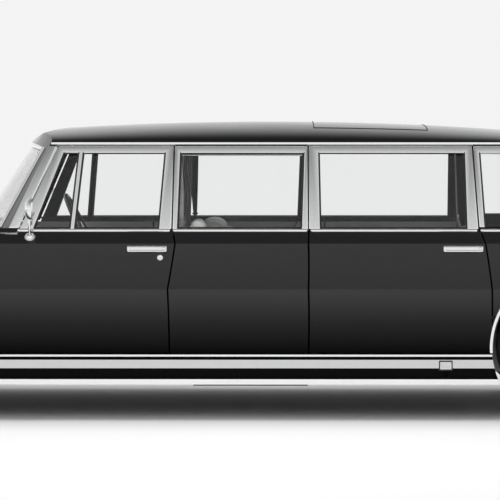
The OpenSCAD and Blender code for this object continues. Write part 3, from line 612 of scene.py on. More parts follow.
def clearPane():
    mat, tree, bsdf = newFinish("clearPane", paneGlass["colour"], 0.0)
    bsdf.inputs["Transmission Weight"].default_value = 1.0
    bsdf.inputs["IOR"].default_value = paneGlass["ior"]
    varyRoughness(tree, bsdf, addDrift(tree, *paneGlass["drift"]), *paneGlass["sheen"])
    return mat


lampLenses = {
    "lampGlass": {"colour": (0.93, 0.95, 0.96), "roughness": 0.02, "depth": ("Transmission Weight", 0.55),
                  "flutes": ("Y", 18), "bump": (0.6, 0.003)},
    "redLampPlastic": {"colour": (0.42, 0.012, 0.012), "roughness": 0.12, "depth": ("Coat Weight", 0.6),
                       "flutes": ("Z", 22), "bump": (0.5, 0.003)},
}


def flutedLens(name):
    lens = lampLenses[name]
    mat, tree, bsdf = newFinish(name, lens["colour"], lens["roughness"])
    socket, weight = lens["depth"]
    bsdf.inputs[socket].default_value = weight
    direction, scale = lens["flutes"]
    flutes = addNode(tree, "TexWave", {"Scale": scale}, bands_direction=direction)
    wire(tree, (addNode(tree, "TexCoord").outputs["Object"], flutes.inputs["Vector"]))
    addBump(tree, bsdf, flutes.outputs["Fac"], *lens["bump"])
    return mat


veneer = {
    "colour": (0.16, 0.07, 0.03),
    "dark": (0.06, 0.022, 0.01),
    "light": (0.24, 0.11, 0.045),
    "roughness": 0.25,
    "coat": 0.8,
    "coatRoughness": 0.05,
    "stretch": (9, 1.4, 9),             # the figure runs across the car
    "rings": {"Scale": 4, "Detail": 8, "Distortion": 1.6},
}


def walnutVeneer():
    mat, tree, bsdf = newFinish("walnutVeneer", veneer["colour"], veneer["roughness"])
    bsdf.inputs["Coat Weight"].default_value = veneer["coat"]
    bsdf.inputs["Coat Roughness"].default_value = veneer["coatRoughness"]
    stretch = addNode(tree, "Mapping", {"Scale": veneer["stretch"]})
    rings = addNode(tree, "TexNoise", veneer["rings"])
    wire(tree,
         (addNode(tree, "TexCoord").outputs["Object"], stretch.inputs["Vector"]),
         (stretch.outputs["Vector"], rings.inputs["Vector"]))
    varyColour(tree, bsdf, rings.outputs["Fac"], veneer["dark"], veneer["light"])
    return mat


# dark tone, light tone, roughness, scale of the drift, scale of the grain, bump, metallic
grains = {
    "tyreRubber": ((0.012, 0.012, 0.012), (0.026, 0.025, 0.024), 0.75, 7, 500, 0.3),
    "wheelLacquer": ((0.008, 0.008, 0.009), (0.012, 0.012, 0.014), 0.25, 5, 700, 0.03),
    "underbodyPaint": ((0.02, 0.02, 0.02), (0.045, 0.044, 0.042), 0.6, 5, 160, 0.25),
    "castIron": ((0.12, 0.12, 0.125), (0.22, 0.22, 0.225), 0.55, 9, 260, 0.4, 0.7),
    "greyHide": ((0.36, 0.35, 0.33), (0.45, 0.44, 0.415), 0.5, 4, 420, 0.35),
    "rimPlastic": ((0.014, 0.014, 0.015), (0.022, 0.022, 0.024), 0.22, 8, 500, 0.05),
    "sealRubber": ((0.008, 0.008, 0.008), (0.014, 0.014, 0.014), 0.6, 10, 600, 0.15),
    "cardHide": ((0.3, 0.3, 0.29), (0.36, 0.36, 0.345), 0.55, 4, 380, 0.3),
    "headCloth": ((0.42, 0.41, 0.39), (0.5, 0.49, 0.47), 0.9, 6, 700, 0.4),
    "carpetPile": ((0.05, 0.05, 0.052), (0.09, 0.09, 0.092), 0.95, 9, 420, 0.8),
    "paleHide": ((0.86, 0.85, 0.82), (0.92, 0.91, 0.88), 0.5, 5, 420, 0.3),
    "curtainCloth": ((0.07, 0.07, 0.07), (0.12, 0.118, 0.115), 0.85, 8, 600, 0.3),
}


def grainyFinish(name, dark, light, roughness, scale, fineScale, bump, metallic=0.0):
    mat, tree, bsdf = newFinish(name, light, roughness, metallic)
    noise = addDrift(tree, scale, fineScale)
    varyColour(tree, bsdf, noise.outputs["Drift"], dark, light)
    low, high = (roughness * share for share in drift["roughShare"])
    varyRoughness(tree, bsdf, noise, low, min(high, 1))
    addBump(tree, bsdf, noise.outputs["Grain"], bump, drift["grainDepth"])
    return mat


grainy = {name: grainyFinish(name, *row) for name, row in grains.items()}
finishes = {                            # the finish of each material slot
    "paint": shadedBlackLacquer(),
    "chrome": brightPlating(),
    "glass": clearPane(),
    "lens": flutedLens("lampGlass"),
    "red_lens": flutedLens("redLampPlastic"),
    "tyre": grainy["tyreRubber"],
    "wheel_paint": grainy["wheelLacquer"],
    "chassis": grainy["underbodyPaint"],
    "iron": grainy["castIron"],
    "leather": grainy["greyHide"],
    "trim": walnutVeneer(),
    "rim_plastic": grainy["rimPlastic"],
}
shadedSillFinish = shadedSillPlating()
sealRubber = grainy["sealRubber"]
cardHide = grainy["cardHide"]

slotOf = {part["node"]: part["material_slot"] for part in frame["record"]["subparts"]}
for nodeName, solid in nodes.items():
    solid.data.materials.clear()
    solid.data.materials.append(finishes[slotOf[nodeName]])
# the sill's strips take the chrome with the band of painted shade
nodes["sill_mouldings"].data.materials[0] = shadedSillFinish
nodes["partition"].data.materials[0] = cardHide
print("finishes are on the CAD nodes")


# bright frames round the side windows

framePlate = {"border": 0.006, "rise": 0.0025, "thick": 0.003, "bevel": 0.001,
              "below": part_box("drip_rails")[0].z - 0.010}      # a dark line stays under the drip rail
sealTube = {"radius": 0.011, "out": 0.005}
paneFaces = {"facing": 0.999, "underBelt": 0.002}


def onPane(turn):
    out = Vector((0, car["paneOut"].y * turn, car["paneOut"].z))
    lowest = car["belt"] - paneFaces["underBelt"]
    return lambda centre, normal: normal.dot(out) > paneFaces["facing"] and centre.z > lowest


for sideName, turn in sides:
    rule = onPane(turn)
    for end in ends:
        label = f"{end}_{sideName}"
        platedFaces("brightFrame_" + label, "door_" + label, rule, framePlate, "chrome")
        rimTube("paneSeal_" + label, "glass_" + label, rule, sealTube, "tyre", sealRubber)
    platedFaces(f"brightFrame_centre_{sideName}", "centre_panels", rule, framePlate, "chrome")
    platedFaces(f"brightPillars_{sideName}", "roof", rule, framePlate, "chrome")
    rimTube(f"paneSeal_fixed_{sideName}", "fixed_side_glass", rule, sealTube, "tyre", sealRubber)
print("window frames and seals are made")


# half widths of the flank and of the side glass at a height: the flank has two bowed runs and a crease

flank = {
    "upper": {"from": 0.671, "tall": 0.229, "half": 0.975, "lean": -0.025, "bow": 0.012},
    "lower": {"from": 0.346, "tall": 0.325, "half": 0.940, "lean": 0.035, "bow": 0.0178},
}
sideGlass = {"half": 0.870, "from": 0.971, "lean": 0.4177}


def flankAt(z):
    run = flank["upper" if z > flank["upper"]["from"] else "lower"]
    t = (z - run["from"]) / run["tall"]
    return run["half"] + run["lean"] * t + run["bow"] * t * (1 - t)


def paneAt(z):
    return sideGlass["half"] - (z - sideGlass["from"]) * sideGlass["lean"]


# bright half-round moulding along the belt, one length per panel

belt = {
    "low": 0.955, "high": 0.973, "inner": 0.868, "outer": 0.8935, "rounding": 0.008, "gap": 0.004,
    "pastPane": 0.085,                  # the front length runs this far past the glass
    "panelGap": 0.004, "doorGap": 0.002, "quarterGap": 0.006, "quarter": 0.46,
}
doorEdge = {"behindHandle": 0.018, "pastGlass": 0.049, "aheadOfHandle": 0.020}     # where the doors end
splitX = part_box("fittings_front_left")[0].x - doorEdge["behindHandle"]
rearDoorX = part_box("glass_rear_left")[1].x + doorEdge["pastGlass"]
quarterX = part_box("fittings_rear_left")[0].x + doorEdge["aheadOfHandle"]
beltRuns = (                            # panel, rear end and front end
    ("door_front", splitX, frontPane[1].x + belt["pastPane"]),
    ("centre_panels", rearDoorX + belt["panelGap"], splitX - belt["panelGap"]),
    ("door_rear", quarterX, rearDoorX - belt["doorGap"]),
    ("rear_body", quarterX - belt["quarter"], quarterX - belt["quarterGap"]),
)
for panel, fromX, toX in beltRuns:
    low = (fromX + belt["gap"], belt["inner"], belt["low"])
    high = (toX - belt["gap"], belt["outer"], belt["high"])
    moulding = roundedBar("moulding", low, high, belt["rounding"], segments=4)
    bothSides(moulding, "beltMoulding_" + panel, panel, "chrome")
print("belt mouldings are made")


# bright surrounds of the windscreen and rear window

screenTube = {"radius": 0.011, "out": 0.012, "along": 0.5, "up": 0.25}      # least lean of the outer face


def screenFace(way):
    return lambda c, n: n.x * way > screenTube["along"] and n.z > screenTube["up"]


rimTube("screenSurround", "windscreen", screenFace(1), screenTube, "chrome")
rimTube("rearWindowSurround", "rear_window", screenFace(-1), screenTube, "chrome")


# bright lips round the wheel arches

archLip = {"radius": 0.414, "tube": 0.0095, "foot": 0.347, "out": 0.0015, "around": 120, "section": 12}


def archLipAt(name, node, axleX, turn):
    bpy.ops.object.select_all(action="DESELECT")
    bpy.ops.mesh.primitive_torus_add(
        location=(axleX, 0, car["tyreRadius"]), rotation=(math.pi / 2, 0, 0),
        major_radius=archLip["radius"], minor_radius=archLip["tube"],
        major_segments=archLip["around"], minor_segments=archLip["section"])
    piece = bpy.context.object
    piece.name = name
    bpy.ops.object.transform_apply(location=True, rotation=True, scale=True)
    openMesh(piece)
    bpy.ops.mesh.bisect(plane_co=(0, 0, archLip["foot"]), plane_no=upward, clear_inner=True, use_fill=True)
    closeMesh()
    for spot in piece.data.vertices:
        spot.co.y = (spot.co.y + flankAt(spot.co.z) + archLip["out"]) * turn
    if turn < 0:
        piece.data.flip_normals()
    finishPiece(piece, bodyOf(node), "chrome")


for sideName, turn in sides:
    archLipAt(f"archLip_front_{sideName}", "front_wings", car["axleFront"], turn)
    archLipAt(f"archLip_rear_{sideName}", "rear_body", car["axleRear"], turn)
print("surrounds and arch lips are made")


# door handles, each a grip on two feet with a push button

handle = {
    "z": 0.875, "long": 0.202, "tall": 0.032, "grip": 0.017, "stand": 0.041, "rounding": 0.008,
    "dish": (0.003, -0.0025),           # border and depth of the hollow along the grip
    "foot": 0.032, "footIn": 0.001, "footSlim": 0.002, "footSunk": 0.012, "footUnder": 0.006,
    "footRounding": 0.006,
    "button": [(0, 0.0095), (0.006, 0.009), (0.0085, 0.006), (0.009, -0.002)],
    "buttonSunk": 0.003,
}


def doorHandle(atX):
    y, z = flankAt(handle["z"]), handle["z"]
    half, top, foot = handle["tall"] / 2, y + handle["stand"], handle["foot"]
    grip = roundedBar("grip", (atX, top - handle["grip"], z - half), (atX + handle["long"], top, z + half),
                      handle["rounding"], segments=4)
    dishFront(grip, *handle["dish"])
    feet = []
    for footX in (atX + handle["footIn"], atX + handle["long"] - foot - handle["footIn"]):
        low = (footX, y - handle["footSunk"], z - half + handle["footSlim"])
        high = (footX + foot, top - handle["footUnder"], z + half - handle["footSlim"])
        feet.append(roundedBar("foot", low, high, handle["footRounding"]))
    spot = (atX + foot / 2, top - handle["buttonSunk"], z)
    button = spunAbout("button", handle["button"], spot, outward, steps=24)
    return joined("handle", [grip, *feet, button])


for end in ends:
    made = doorHandle(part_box(f"fittings_{end}_left")[0].x)
    made, twin = bothSides(made, "handle_" + end, "door_" + end, "chrome")
    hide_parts(f"fittings_{end}_left")
    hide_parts(f"fittings_{end}_right")


# rosette round the lock of the front door

rosette = {"x": 0.407, "z": 0.83,
           "outline": [(0, 0.0035), (0.005, 0.0035), (0.006, 0.005), (0.0115, 0.0048), (0.0145, 0.002),
                       (0.015, -0.006)]}
rosetteAt = (rosette["x"], flankAt(rosette["z"]), rosette["z"])
lockRing = spunAbout("rosette", rosette["outline"], rosetteAt, outward, steps=32)
bothSides(lockRing, "lockRosette", "door_front", "chrome")


# round door mirror on a stalk

mirror = {
    "x": frontPane[1].x + 0.015, "footY": 0.9177, "footZ": 0.931, "headY": 0.9777, "headZ": 1.076,
    "head": [(0, 0.021), (0.02, 0.0205), (0.036, 0.017), (0.049, 0.009), (0.0565, -0.004), (0.058, -0.011),
             (0.0565, -0.0145), (0.053, -0.014), (0.052, -0.010), (0, -0.010)],
    "base": [(0, 0.020), (0.009, 0.019), (0.013, 0.012), (0.020, 0.006), (0.027, 0.003), (0.028, -0.012)],
    "baseSunk": 0.002,
    "baseAxis": (0, 0.72, 0.69),
    "stalk": 0.0068,
    "stalkFoot": ((0, 0), (0.018, 0.03)),                      # bends, across and up from the foot
    "stalkHead": ((-0.022, -0.085), (-0.004, -0.04), (0, 0)),  # and from the head
}


def doorMirror():
    x, footY, footZ, headY, headZ = (mirror[k] for k in ("x", "footY", "footZ", "headY", "headZ"))
    head = spunAbout("head", mirror["head"], (x, headY, headZ), (1, 0, 0), steps=48)
    seat = (x, footY - mirror["baseSunk"], footZ)
    base = spunAbout("base", mirror["base"], seat, mirror["baseAxis"], steps=36)
    bends = [(x, footY + y, footZ + z) for y, z in mirror["stalkFoot"]]
    bends += [(x, headY + y, headZ + z) for y, z in mirror["stalkHead"]]
    return joined("mirror", [head, base, bentRod("stalk", bends, mirror["stalk"])])


bothSides(doorMirror(), "doorMirror", "door_front", "chrome")
print("handles and mirrors are made")


# wheels, dressed with a ribbed tyre, a bright cap and a trim ring

tyreShape = {
    "wall": [(0.1905, 0.066), (0.2065, 0.089), (0.222, 0.1015), (0.2505, 0.1135), (0.262, 0.1165),
             (0.268, 0.1135), (0.2905, 0.1175), (0.318, 0.1145), (0.3235, 0.116), (0.330, 0.1115),
             (0.350, 0.103), (0.361, 0.0955), (0.370, 0.083), (0.3745, 0.0715)],
    "ribs": 5,
    "groove": 0.007,
    "grooveWidth": 0.008,
    "grooveFloor": 0.7,                 # width of a groove's floor, as a share
    "tread": 0.3748,
    "steps": 96,
    "sipeFrom": 0.362,                  # every second face of the shoulder is sunk
    "sipeTo": 0.3735,
    "shoulder": 0.07,
    "sipeDepth": -0.004,
}
hubCap = [(0, 0.1025), (0.018, 0.102), (0.03, 0.1), (0.034, 0.0975), (0.0715, 0.0965), (0.1, 0.0885),
          (0.1145, 0.083), (0.127, 0.07), (0.1325, 0.062), (0.132, 0.0545), (0.1285, 0.0535)]
trimRing = [(0.1495, 0.0275), (0.163, 0.034), (0.1768, 0.0425), (0.179, 0.055), (0.18, 0.068),
            (0.186, 0.087), (0.196, 0.098), (0.205, 0.1008), (0.2062, 0.098), (0.2055, 0.095)]


def tyreOutline():
    wall, tread = tyreShape["wall"], tyreShape["tread"]
    treadHalf = wall[-1][1]
    pitch = 2 * treadHalf / tyreShape["ribs"]
    half, low = tyreShape["grooveWidth"] / 2, tread - tyreShape["groove"]
    inner = half * tyreShape["grooveFloor"]
    run = []
    for k in range(1, tyreShape["ribs"]):
        at = treadHalf - k * pitch
        run += [(tread, at + half), (low, at + inner), (low, at - inner), (tread, at - half)]
    back = [(radius, -along) for radius, along in reversed(wall)]
    return wall + run + back + [wall[0]]


def ribbedTyre(name, centre):
    piece = spunAbout(name, tyreOutline(), centre, outward, tyreShape["steps"])
    middle = Vector(centre)

    def sipe(c, n):
        arm = c - middle
        reach = Vector((arm.x, arm.z)).length
        turnIndex = int((math.atan2(arm.x, arm.z) + math.pi) / (2 * math.pi) * tyreShape["steps"])
        inBand = tyreShape["sipeFrom"] < reach < tyreShape["sipeTo"]
        return inBand and abs(arm.y) > tyreShape["shoulder"] and turnIndex % 2 == 0

    chooseFaces(piece, sipe)
    bpy.ops.mesh.extrude_region_shrink_fatten(TRANSFORM_OT_shrink_fatten={"value": tyreShape["sipeDepth"]})
    closeMesh()
    return piece


wheelAt = (car["axleFront"], car["wheelMiddle"], car["tyreRadius"])
dressing = (                            # label, piece on the front left wheel, slot
    ("ribbedTyre", ribbedTyre("ribbedTyre_front_left", wheelAt), "tyre"),
    ("hubCap", spunAbout("hubCap_front_left", hubCap, wheelAt, outward), "chrome"),
    ("trimRing", spunAbout("trimRing_front_left", trimRing, wheelAt, outward), "chrome"),
)
for label, first, slotName in dressing:
    finishPiece(first, "wheel_front_left_body", slotName)
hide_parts("tyre_front_left")
backMove = Matrix.Translation((car["axleRear"] - car["axleFront"], 0, 0))
otherWheels = (
    ("front_right", mirrorAcross),
    ("rear_left", backMove),
    ("rear_right", backMove @ mirrorAcross),
)
for wheel, matrix in otherWheels:
    for label, first, slotName in dressing:
        twin = placedCopy(first, f"{label}_{wheel}", f"wheel_{wheel}_body", matrix)
        if slotName == "tyre":
            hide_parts(f"tyre_{wheel}")
print("wheels are dressed")


# linings on the inner faces of doors, panels, roof and floor

cardPlate = {"border": 0.03, "rise": 0.006, "thick": 0.006, "even": False, "below": 0.945}
liningPlate = {"thick": 0.006, "even": False}
cabin = {
    "wall": 0.835,                      # half width between the doors
    "wallSlack": 0.003,
    "ceilingFacing": -0.5,
    "ceilingHalf": 0.72,
    "floorFacing": 0.95,
    "floorTop": 0.3,
}


def facesInboard(turn):
    return lambda c, n: n.y * turn < -shop["square"] and abs(c.y * turn - cabin["wall"]) < cabin["wallSlack"]


def onCeiling(c, n):
    return n.z < cabin["ceilingFacing"] and abs(c.y) < cabin["ceilingHalf"]


def onFloor(c, n):
    return n.z > cabin["floorFacing"] and c.z < cabin["floorTop"]


for sideName, turn in sides:
    rule = facesInboard(turn)
    for end in ends:
        label = f"{end}_{sideName}"
        platedFaces("doorCard_" + label, "door_" + label, rule, cardPlate, "leather", cardHide)
    platedFaces(f"panelCard_{sideName}", "centre_panels", rule, cardPlate, "leather", cardHide)
platedFaces("headlining", "roof", onCeiling, liningPlate, "leather", grainy["headCloth"])
platedFaces("carpet", "floor", onFloor, liningPlate, "trim", grainy["carpetPile"])


# arm rest, pull and window winder of a door, placed from its rear edge

doorTrim = {
    "restLow": (0.0, 0.775, 0.62), "restHigh": (0.42, 0.832, 0.685), "restRounding": 0.018,
    "pull": ((0.5, 0.828, 0.8), (0.5, 0.806, 0.8), (0.6, 0.806, 0.81), (0.6, 0.828, 0.81)),
    "pullRadius": 0.006,
    "crank": [(0, 0.008), (0.01, 0.0075), (0.016, 0.004), (0.017, 0)],
    "crankAt": (0.2, 0.829, 0.8),
    "winder": ((0.2, 0.822, 0.8), (0.2, 0.818, 0.72), (0.2, 0.8, 0.715)),
    "winderRadius": 0.0055,
    "from": {"front": splitX + 0.1, "rear": quarterX + 0.13},
}


def doorFurniture(fromX):
    pull, winder = ([(fromX + x, y, z) for x, y, z in doorTrim[k]] for k in ("pull", "winder"))
    x, y, z = doorTrim["crankAt"]
    return joined("furniture", [
        bentRod("pull", pull, doorTrim["pullRadius"]),
        spunAbout("crank", doorTrim["crank"], (fromX + x, y, z), (0, -1, 0), steps=24),
        bentRod("winder", winder, doorTrim["winderRadius"]),
    ])


for end, fromX in doorTrim["from"].items():
    low, high = (Vector(doorTrim[k]) + Vector((fromX, 0, 0)) for k in ("restLow", "restHigh"))
    rest = roundedBar("rest", low, high, doorTrim["restRounding"], segments=4)
    bothSides(rest, "armRest_" + end, "door_" + end, "leather", cardHide)
    bothSides(doorFurniture(fromX), "doorFurniture_" + end, "door_" + end, "chrome")
print("linings are made")


# the roof again, its top and edges pressed to a soft oval section by a mould

roofMould = {
    "spring": 1.400,                    # height of the drip rail, where the oval starts
    "half": 0.6912,                     # half width of the roof there
    "top": 1.5103,
    "middle": -0.1435,                  # place of the highest point along the car
    "along": 18.0,                      # radius of the roof line along the car
    "power": 2.2,                       # 2 is an ellipse, more is squarer
    "from": -2.1,
    "to": 1.4,
    "lengthwise": 80,
    "across": 121,
    "ovalShare": 0.92,                  # part of the grid's width that forms the oval, the rest is the ledge
    "ledge": 1.2,
    "down": 0.7,
    "smooth": 30,
}


def roofRise(x):
    mould = roofMould
    return mould["top"] - (x - mould["middle"]) ** 2 / (2 * mould["along"]) - mould["spring"]


def pressedRoof():
    mould, share = roofMould, roofMould["ovalShare"]
    press = freshGrid("press", mould["lengthwise"], mould["across"])
    for spot in press.data.vertices:
        x = mould["from"] + (mould["to"] - mould["from"]) * (spot.co.x + 1) / 2
        t = spot.co.y / share
        if abs(t) > 1:
            y = mould["half"] + (mould["ledge"] - mould["half"]) * (abs(t) - 1) / (1 / share - 1)
            spot.co = (x, math.copysign(y, t), mould["spring"])
        else:
            turn = math.pi / 2 * t
            y = mould["half"] * abs(math.sin(turn)) ** (2 / mould["power"])
            z = mould["spring"] + roofRise(x) * max(math.cos(turn), 0) ** (2 / mould["power"])
            spot.co = (x, math.copysign(y, t), z)
    openMesh(press)
    bpy.ops.mesh.extrude_region_move(TRANSFORM_OT_translate={"value": (0, 0, -mould["down"])})
    bpy.ops.mesh.select_all(action="SELECT")
    bpy.ops.mesh.normals_make_consistent(inside=False)
    closeMesh()
    shell = copyNode("roof", "roofShell")
    applyModifier(shell, "BOOLEAN", operation="INTERSECT", object=press, solver="EXACT")
    bpy.data.objects.remove(press)
    finishPiece(shell, "body", "paint", smoothAngle=mould["smooth"])
    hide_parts("roof")          # after every piece that copies the roof, because this hides it


pressedRoof()


# fine seal round the sliding roof

slidingRoof = {"front": -0.375, "rear": -0.964, "half": 0.495, "seal": 0.0028, "steps": 24}


def roofAt(x, y):
    power = roofMould["power"]
    return roofMould["spring"] + roofRise(x) * (1 - (abs(y) / roofMould["half"]) ** power) ** (1 / power)


def slidingSeal():
    steps, half, front = (slidingRoof[k] for k in ("steps", "half", "front"))
    across = [half - 2 * half * k / steps for k in range(steps + 1)]
    along = [front + (slidingRoof["rear"] - front) * k / steps for k in range(steps + 1)]
    spots = [(along[0], y) for y in across] + [(x, -half) for x in along[1:]]
    spots += [(along[-1], -y) for y in across[1:]] + [(x, half) for x in reversed(along[:-1])]
    return bentRod("slidingRoofSeal", [(x, y, roofAt(x, y)) for x, y in spots], slidingRoof["seal"])


finishPiece(slidingSeal(), "body", "tyre", sealRubber)
print("roof is pressed")


# housings over the rear wheels, which close the boot and cabin from the arches

housing = {"radius": 0.402, "inner": 0.655, "outer": 0.925, "foot": 0.46, "thick": 0.003, "corner": 0.02,
           "cornerCut": 0.3}


def wheelHousing():
    inner, outer = (housing[k] - car["wheelMiddle"] for k in ("inner", "outer"))
    reach, corner, cut = (housing[k] for k in ("radius", "corner", "cornerCut"))
    outline = [(0, inner), (reach - corner, inner), (reach - corner * cut, inner + corner * cut),
               (reach, inner + corner), (reach, outer)]
    centre = (car["axleRear"], car["wheelMiddle"], car["tyreRadius"])
    piece = spunAbout("housing", outline, centre, outward)
    openMesh(piece)
    bpy.ops.mesh.bisect(plane_co=(0, 0, housing["foot"]), plane_no=upward, clear_inner=True)
    closeMesh()
    applyModifier(piece, "SOLIDIFY", thickness=housing["thick"], offset=-1.0)
    return piece


bothSides(wheelHousing(), "wheelHousing", "rear_body", "chassis")
print("wheel housings are made")


# seats: a plain base with sewn pads on it

padding = {
    "cushionThick": 0.15, "backThick": 0.13, "flutes": 14, "crown": 0.022, "seam": 0.012,
    "cuts": 11, "cutsAcross": 4,
    "rim": (0.3, 8),                    # the edges roll down by this share, the power keeps it near the rim
    "pullIn": 0.025, "frontIn": 0.012, "sideIn": 0.012,
    "channel": 0.55,                    # power of the flutes' section
    "fluteEnd": (0.93, 10), "fluteSide": (0.985, 30),
    "smooth": 60,
}


def within(t, reach, power):
    return max(0.0, 1 - (abs(t) / reach) ** power)


# block of the given depth, width and thickness, cut finely across, crowned, with sewn channels
def sewnPad(name, depth, width, thick):
    bpy.ops.object.select_all(action="DESELECT")
    bpy.ops.mesh.primitive_cube_add(size=1)
    piece = bpy.context.object
    piece.name = name
    piece.scale = (depth, width, thick)
    bpy.ops.object.transform_apply(location=True, rotation=True, scale=True)
    bpy.ops.object.mode_set(mode="EDIT")
    bpy.ops.mesh.select_mode(type="EDGE")
    bpy.ops.mesh.select_all(action="SELECT")
    bpy.ops.mesh.subdivide(number_cuts=padding["cuts"])
    bpy.ops.mesh.select_all(action="DESELECT")
    closeMesh()
    spots = piece.data.vertices
    for edge in piece.data.edges:
        run = spots[edge.vertices[1]].co - spots[edge.vertices[0]].co
        edge.select = abs(run.y) > abs(run.x) + abs(run.z)
    bpy.ops.object.mode_set(mode="EDIT")
    bpy.ops.mesh.subdivide(number_cuts=padding["cutsAcross"])
    closeMesh()
    drop, rimPower = padding["rim"]
    for spot in spots:
        u, v, w = spot.co.x / depth * 2, spot.co.y / width * 2, spot.co.z / thick * 2
        spot.co.z *= 1 - drop * max(abs(u), abs(v)) ** rimPower
        spot.co.x *= 1 - padding["pullIn"] * w * w - padding["frontIn"] * (1 - v * v) * abs(u)
        spot.co.y *= 1 - padding["sideIn"] * w * w
        if w > 0:
            channel = abs(math.sin(math.pi * padding["flutes"] * (v + 1) / 2)) ** padding["channel"]
            inside = within(u, *padding["fluteEnd"]) * within(v, *padding["fluteSide"])
            sewn = padding["seam"] * (1 - channel) * inside
            spot.co.z += w * (padding["crown"] * (1 - u * u) * (1 - v * v) - sewn)
    return piece


def placedPad(piece, tilt, place):
    piece.data.transform(Matrix.Translation(place) @ Matrix.Rotation(tilt, 4, "Y"))
    applyModifier(piece, "SUBSURF", levels=1, render_levels=1)
    finishPiece(piece, "body", "leather", smoothAngle=padding["smooth"])


# each seat: the way it faces, depth of its cushion, height of its back and how far in the back stands
seatPlan = {
    "front_seat": {"label": "frontSeat", "faces": 1, "cushion": 0.50, "backTop": 0.905, "backIn": 0.12},
    "middle_seat": {"label": "middleSeat", "faces": -1, "cushion": 0.44, "backTop": 0.93, "backIn": 0.12},
    "rear_seat": {"label": "rearSeat", "faces": 1, "cushion": 0.56, "backTop": 0.93, "backIn": 0.1,
                  "footBehind": 0.1},   # the rear seat's base is measured from its front edge
}
seatShape = {
    "top": 0.56, "baseTop": 0.1, "baseRear": 0.03, "baseFront": 0.02, "baseSide": 0.02, "baseRounding": 0.02,
    "cushionDrop": 0.075, "cushionTilt": -4,
    "backFoot": 0.46, "backLean": 14, "backOut": 0.07, "backGap": 0.02,
}


def makeSeat(node, plan):
    low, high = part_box(node)
    shape, way, label = seatShape, plan["faces"], plan["label"]
    width = high.y - low.y
    foot, front = (low.x, high.x) if way > 0 else (high.x, low.x)
    if "footBehind" in plan:
        foot = high.x - plan["cushion"] - plan["footBehind"]
    baseX = sorted((foot + way * shape["baseRear"], front - way * shape["baseFront"]))
    base = roundedBar(label + "Base", (baseX[0], low.y + shape["baseSide"], low.z),
                      (baseX[1], high.y - shape["baseSide"], shape["top"] - shape["baseTop"]),
                      shape["baseRounding"])
    finishPiece(base, "body", "leather")
    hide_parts(node)
    cushion = sewnPad(label + "Cushion", plan["cushion"], width, padding["cushionThick"])
    middle = front - way * plan["cushion"] / 2
    tilt = math.radians(shape["cushionTilt"]) * way
    placedPad(cushion, tilt, (middle, 0, shape["top"] - shape["cushionDrop"]))
    tall = plan["backTop"] - shape["backFoot"]
    lean = math.radians(shape["backLean"])
    back = sewnPad(label + "Back", tall / math.cos(lean), width, padding["backThick"])
    backFoot = foot + way * plan["backIn"]
    at = backFoot + way * (shape["backOut"] - math.tan(lean) * tall / 2 + shape["backGap"])
    if way < 0:
        back.data.transform(Matrix.Rotation(math.pi, 4, "Z"))
    placedPad(back, (math.pi / 2 - lean) * -way, (at, 0, shape["backFoot"] + tall / 2))


for node, plan in seatPlan.items():
    makeSeat(node, plan)
print("seats are made")


# rolled tops of the middle seats, one for each passenger

rollTop = {
    "radius": 0.05,
    "half": 0.2,
    "steps": 9,
    "bulge": 0.6,                       # of the round ends, as a share of the radius
    "seams": ((0.965, 0.5), (1, 0.47), (1, 0.02), (0.965, 0)),  # shares of radius and half length
    "smooth": 60,
}
rollPlan = (                            # side, place, length over height, finish
    ("right", (0.155, -0.44, 0.931), 1.4, None),
    ("centre", (0.155, 0.0, 0.931), 1.4, None),
    ("left", (0.226, 0.44, 0.952), 0.86, grainy["paleHide"]),
)


def seatRoll(name, place, stretch, finish):
    half, radius, steps = (rollTop[k] for k in ("half", "radius", "steps"))
    outline = [(0, half)]
    for k in range(1, steps):
        a = math.pi / 2 * k / (steps - 1)
        outline.append((radius * math.sin(a), half - radius * rollTop["bulge"] * (1 - math.cos(a))))
    outline += [(radius * r, half * along) for r, along in rollTop["seams"]]
    outline += [(r, -along) for r, along in reversed(outline[:-1])]
    piece = spunAbout(name, outline, (0, 0, 0), outward, steps=40)
    for spot in piece.data.vertices:
        spot.co.x *= stretch
    piece.data.transform(Matrix.Translation(place))
    applyModifier(piece, "SUBSURF", levels=1, render_levels=1)
    finishPiece(piece, "body", "leather", finish, rollTop["smooth"])


for sideName, place, stretch, finish in rollPlan:
    seatRoll(f"seatRoll_{sideName}", place, stretch, finish)
print("rolled seat tops are made")


# curtains gathered at the front edge of the centre windows, with their rails and ties

curtain = {
    "front": 0.303, "rear": 0.246, "low": 0.975, "high": 1.338, "inset": 0.056,
    "folds": 5, "depth": 0.011, "across": 80, "down": 30,
    "foot": 0.3, "footX": 0.268, "taper": 0.8,                  # drawn together at the foot
    "measures": 400,                    # steps in which the flat width is measured
    "smooth": 180,
}


def ripple(u):
    return curtain["depth"] * math.sin(u * math.pi * curtain["folds"])


def gatheredCurtain():
    piece = freshGrid("curtain", curtain["across"], curtain["down"])
    low, high, foot = (curtain[k] for k in ("low", "high", "foot"))
    middle = (curtain["front"] + curtain["rear"]) / 2
    half = (curtain["front"] - curtain["rear"]) / 2
    for spot in piece.data.vertices:
        u, v = spot.co.x, (spot.co.y + 1) / 2
        z = low + (high - low) * v
        share = foot + (1 - foot) * v ** curtain["taper"]
        lean = (curtain["footX"] - middle) * (1 - v)
        spot.co = (middle + lean + half * share * u, paneAt(z) - curtain["inset"] + ripple(u), z)
    marks = [-1 + 2 * k / curtain["measures"] for k in range(curtain["measures"] + 1)]
    run = [Vector((half * u, ripple(u))) for u in marks]
    width = sum((here - last).length for last, here in zip(run, run[1:]))
    tall = (Vector((0, paneAt(high), high)) - Vector((0, paneAt(low), low))).length
    return piece, (width, tall)


cloth, flatSize = gatheredCurtain()
pair = bothSides(cloth, "curtain", "centre_panels", "leather", grainy["curtainCloth"], curtain["smooth"])
print("curtain flat size", [round(v, 3) for v in flatSize])

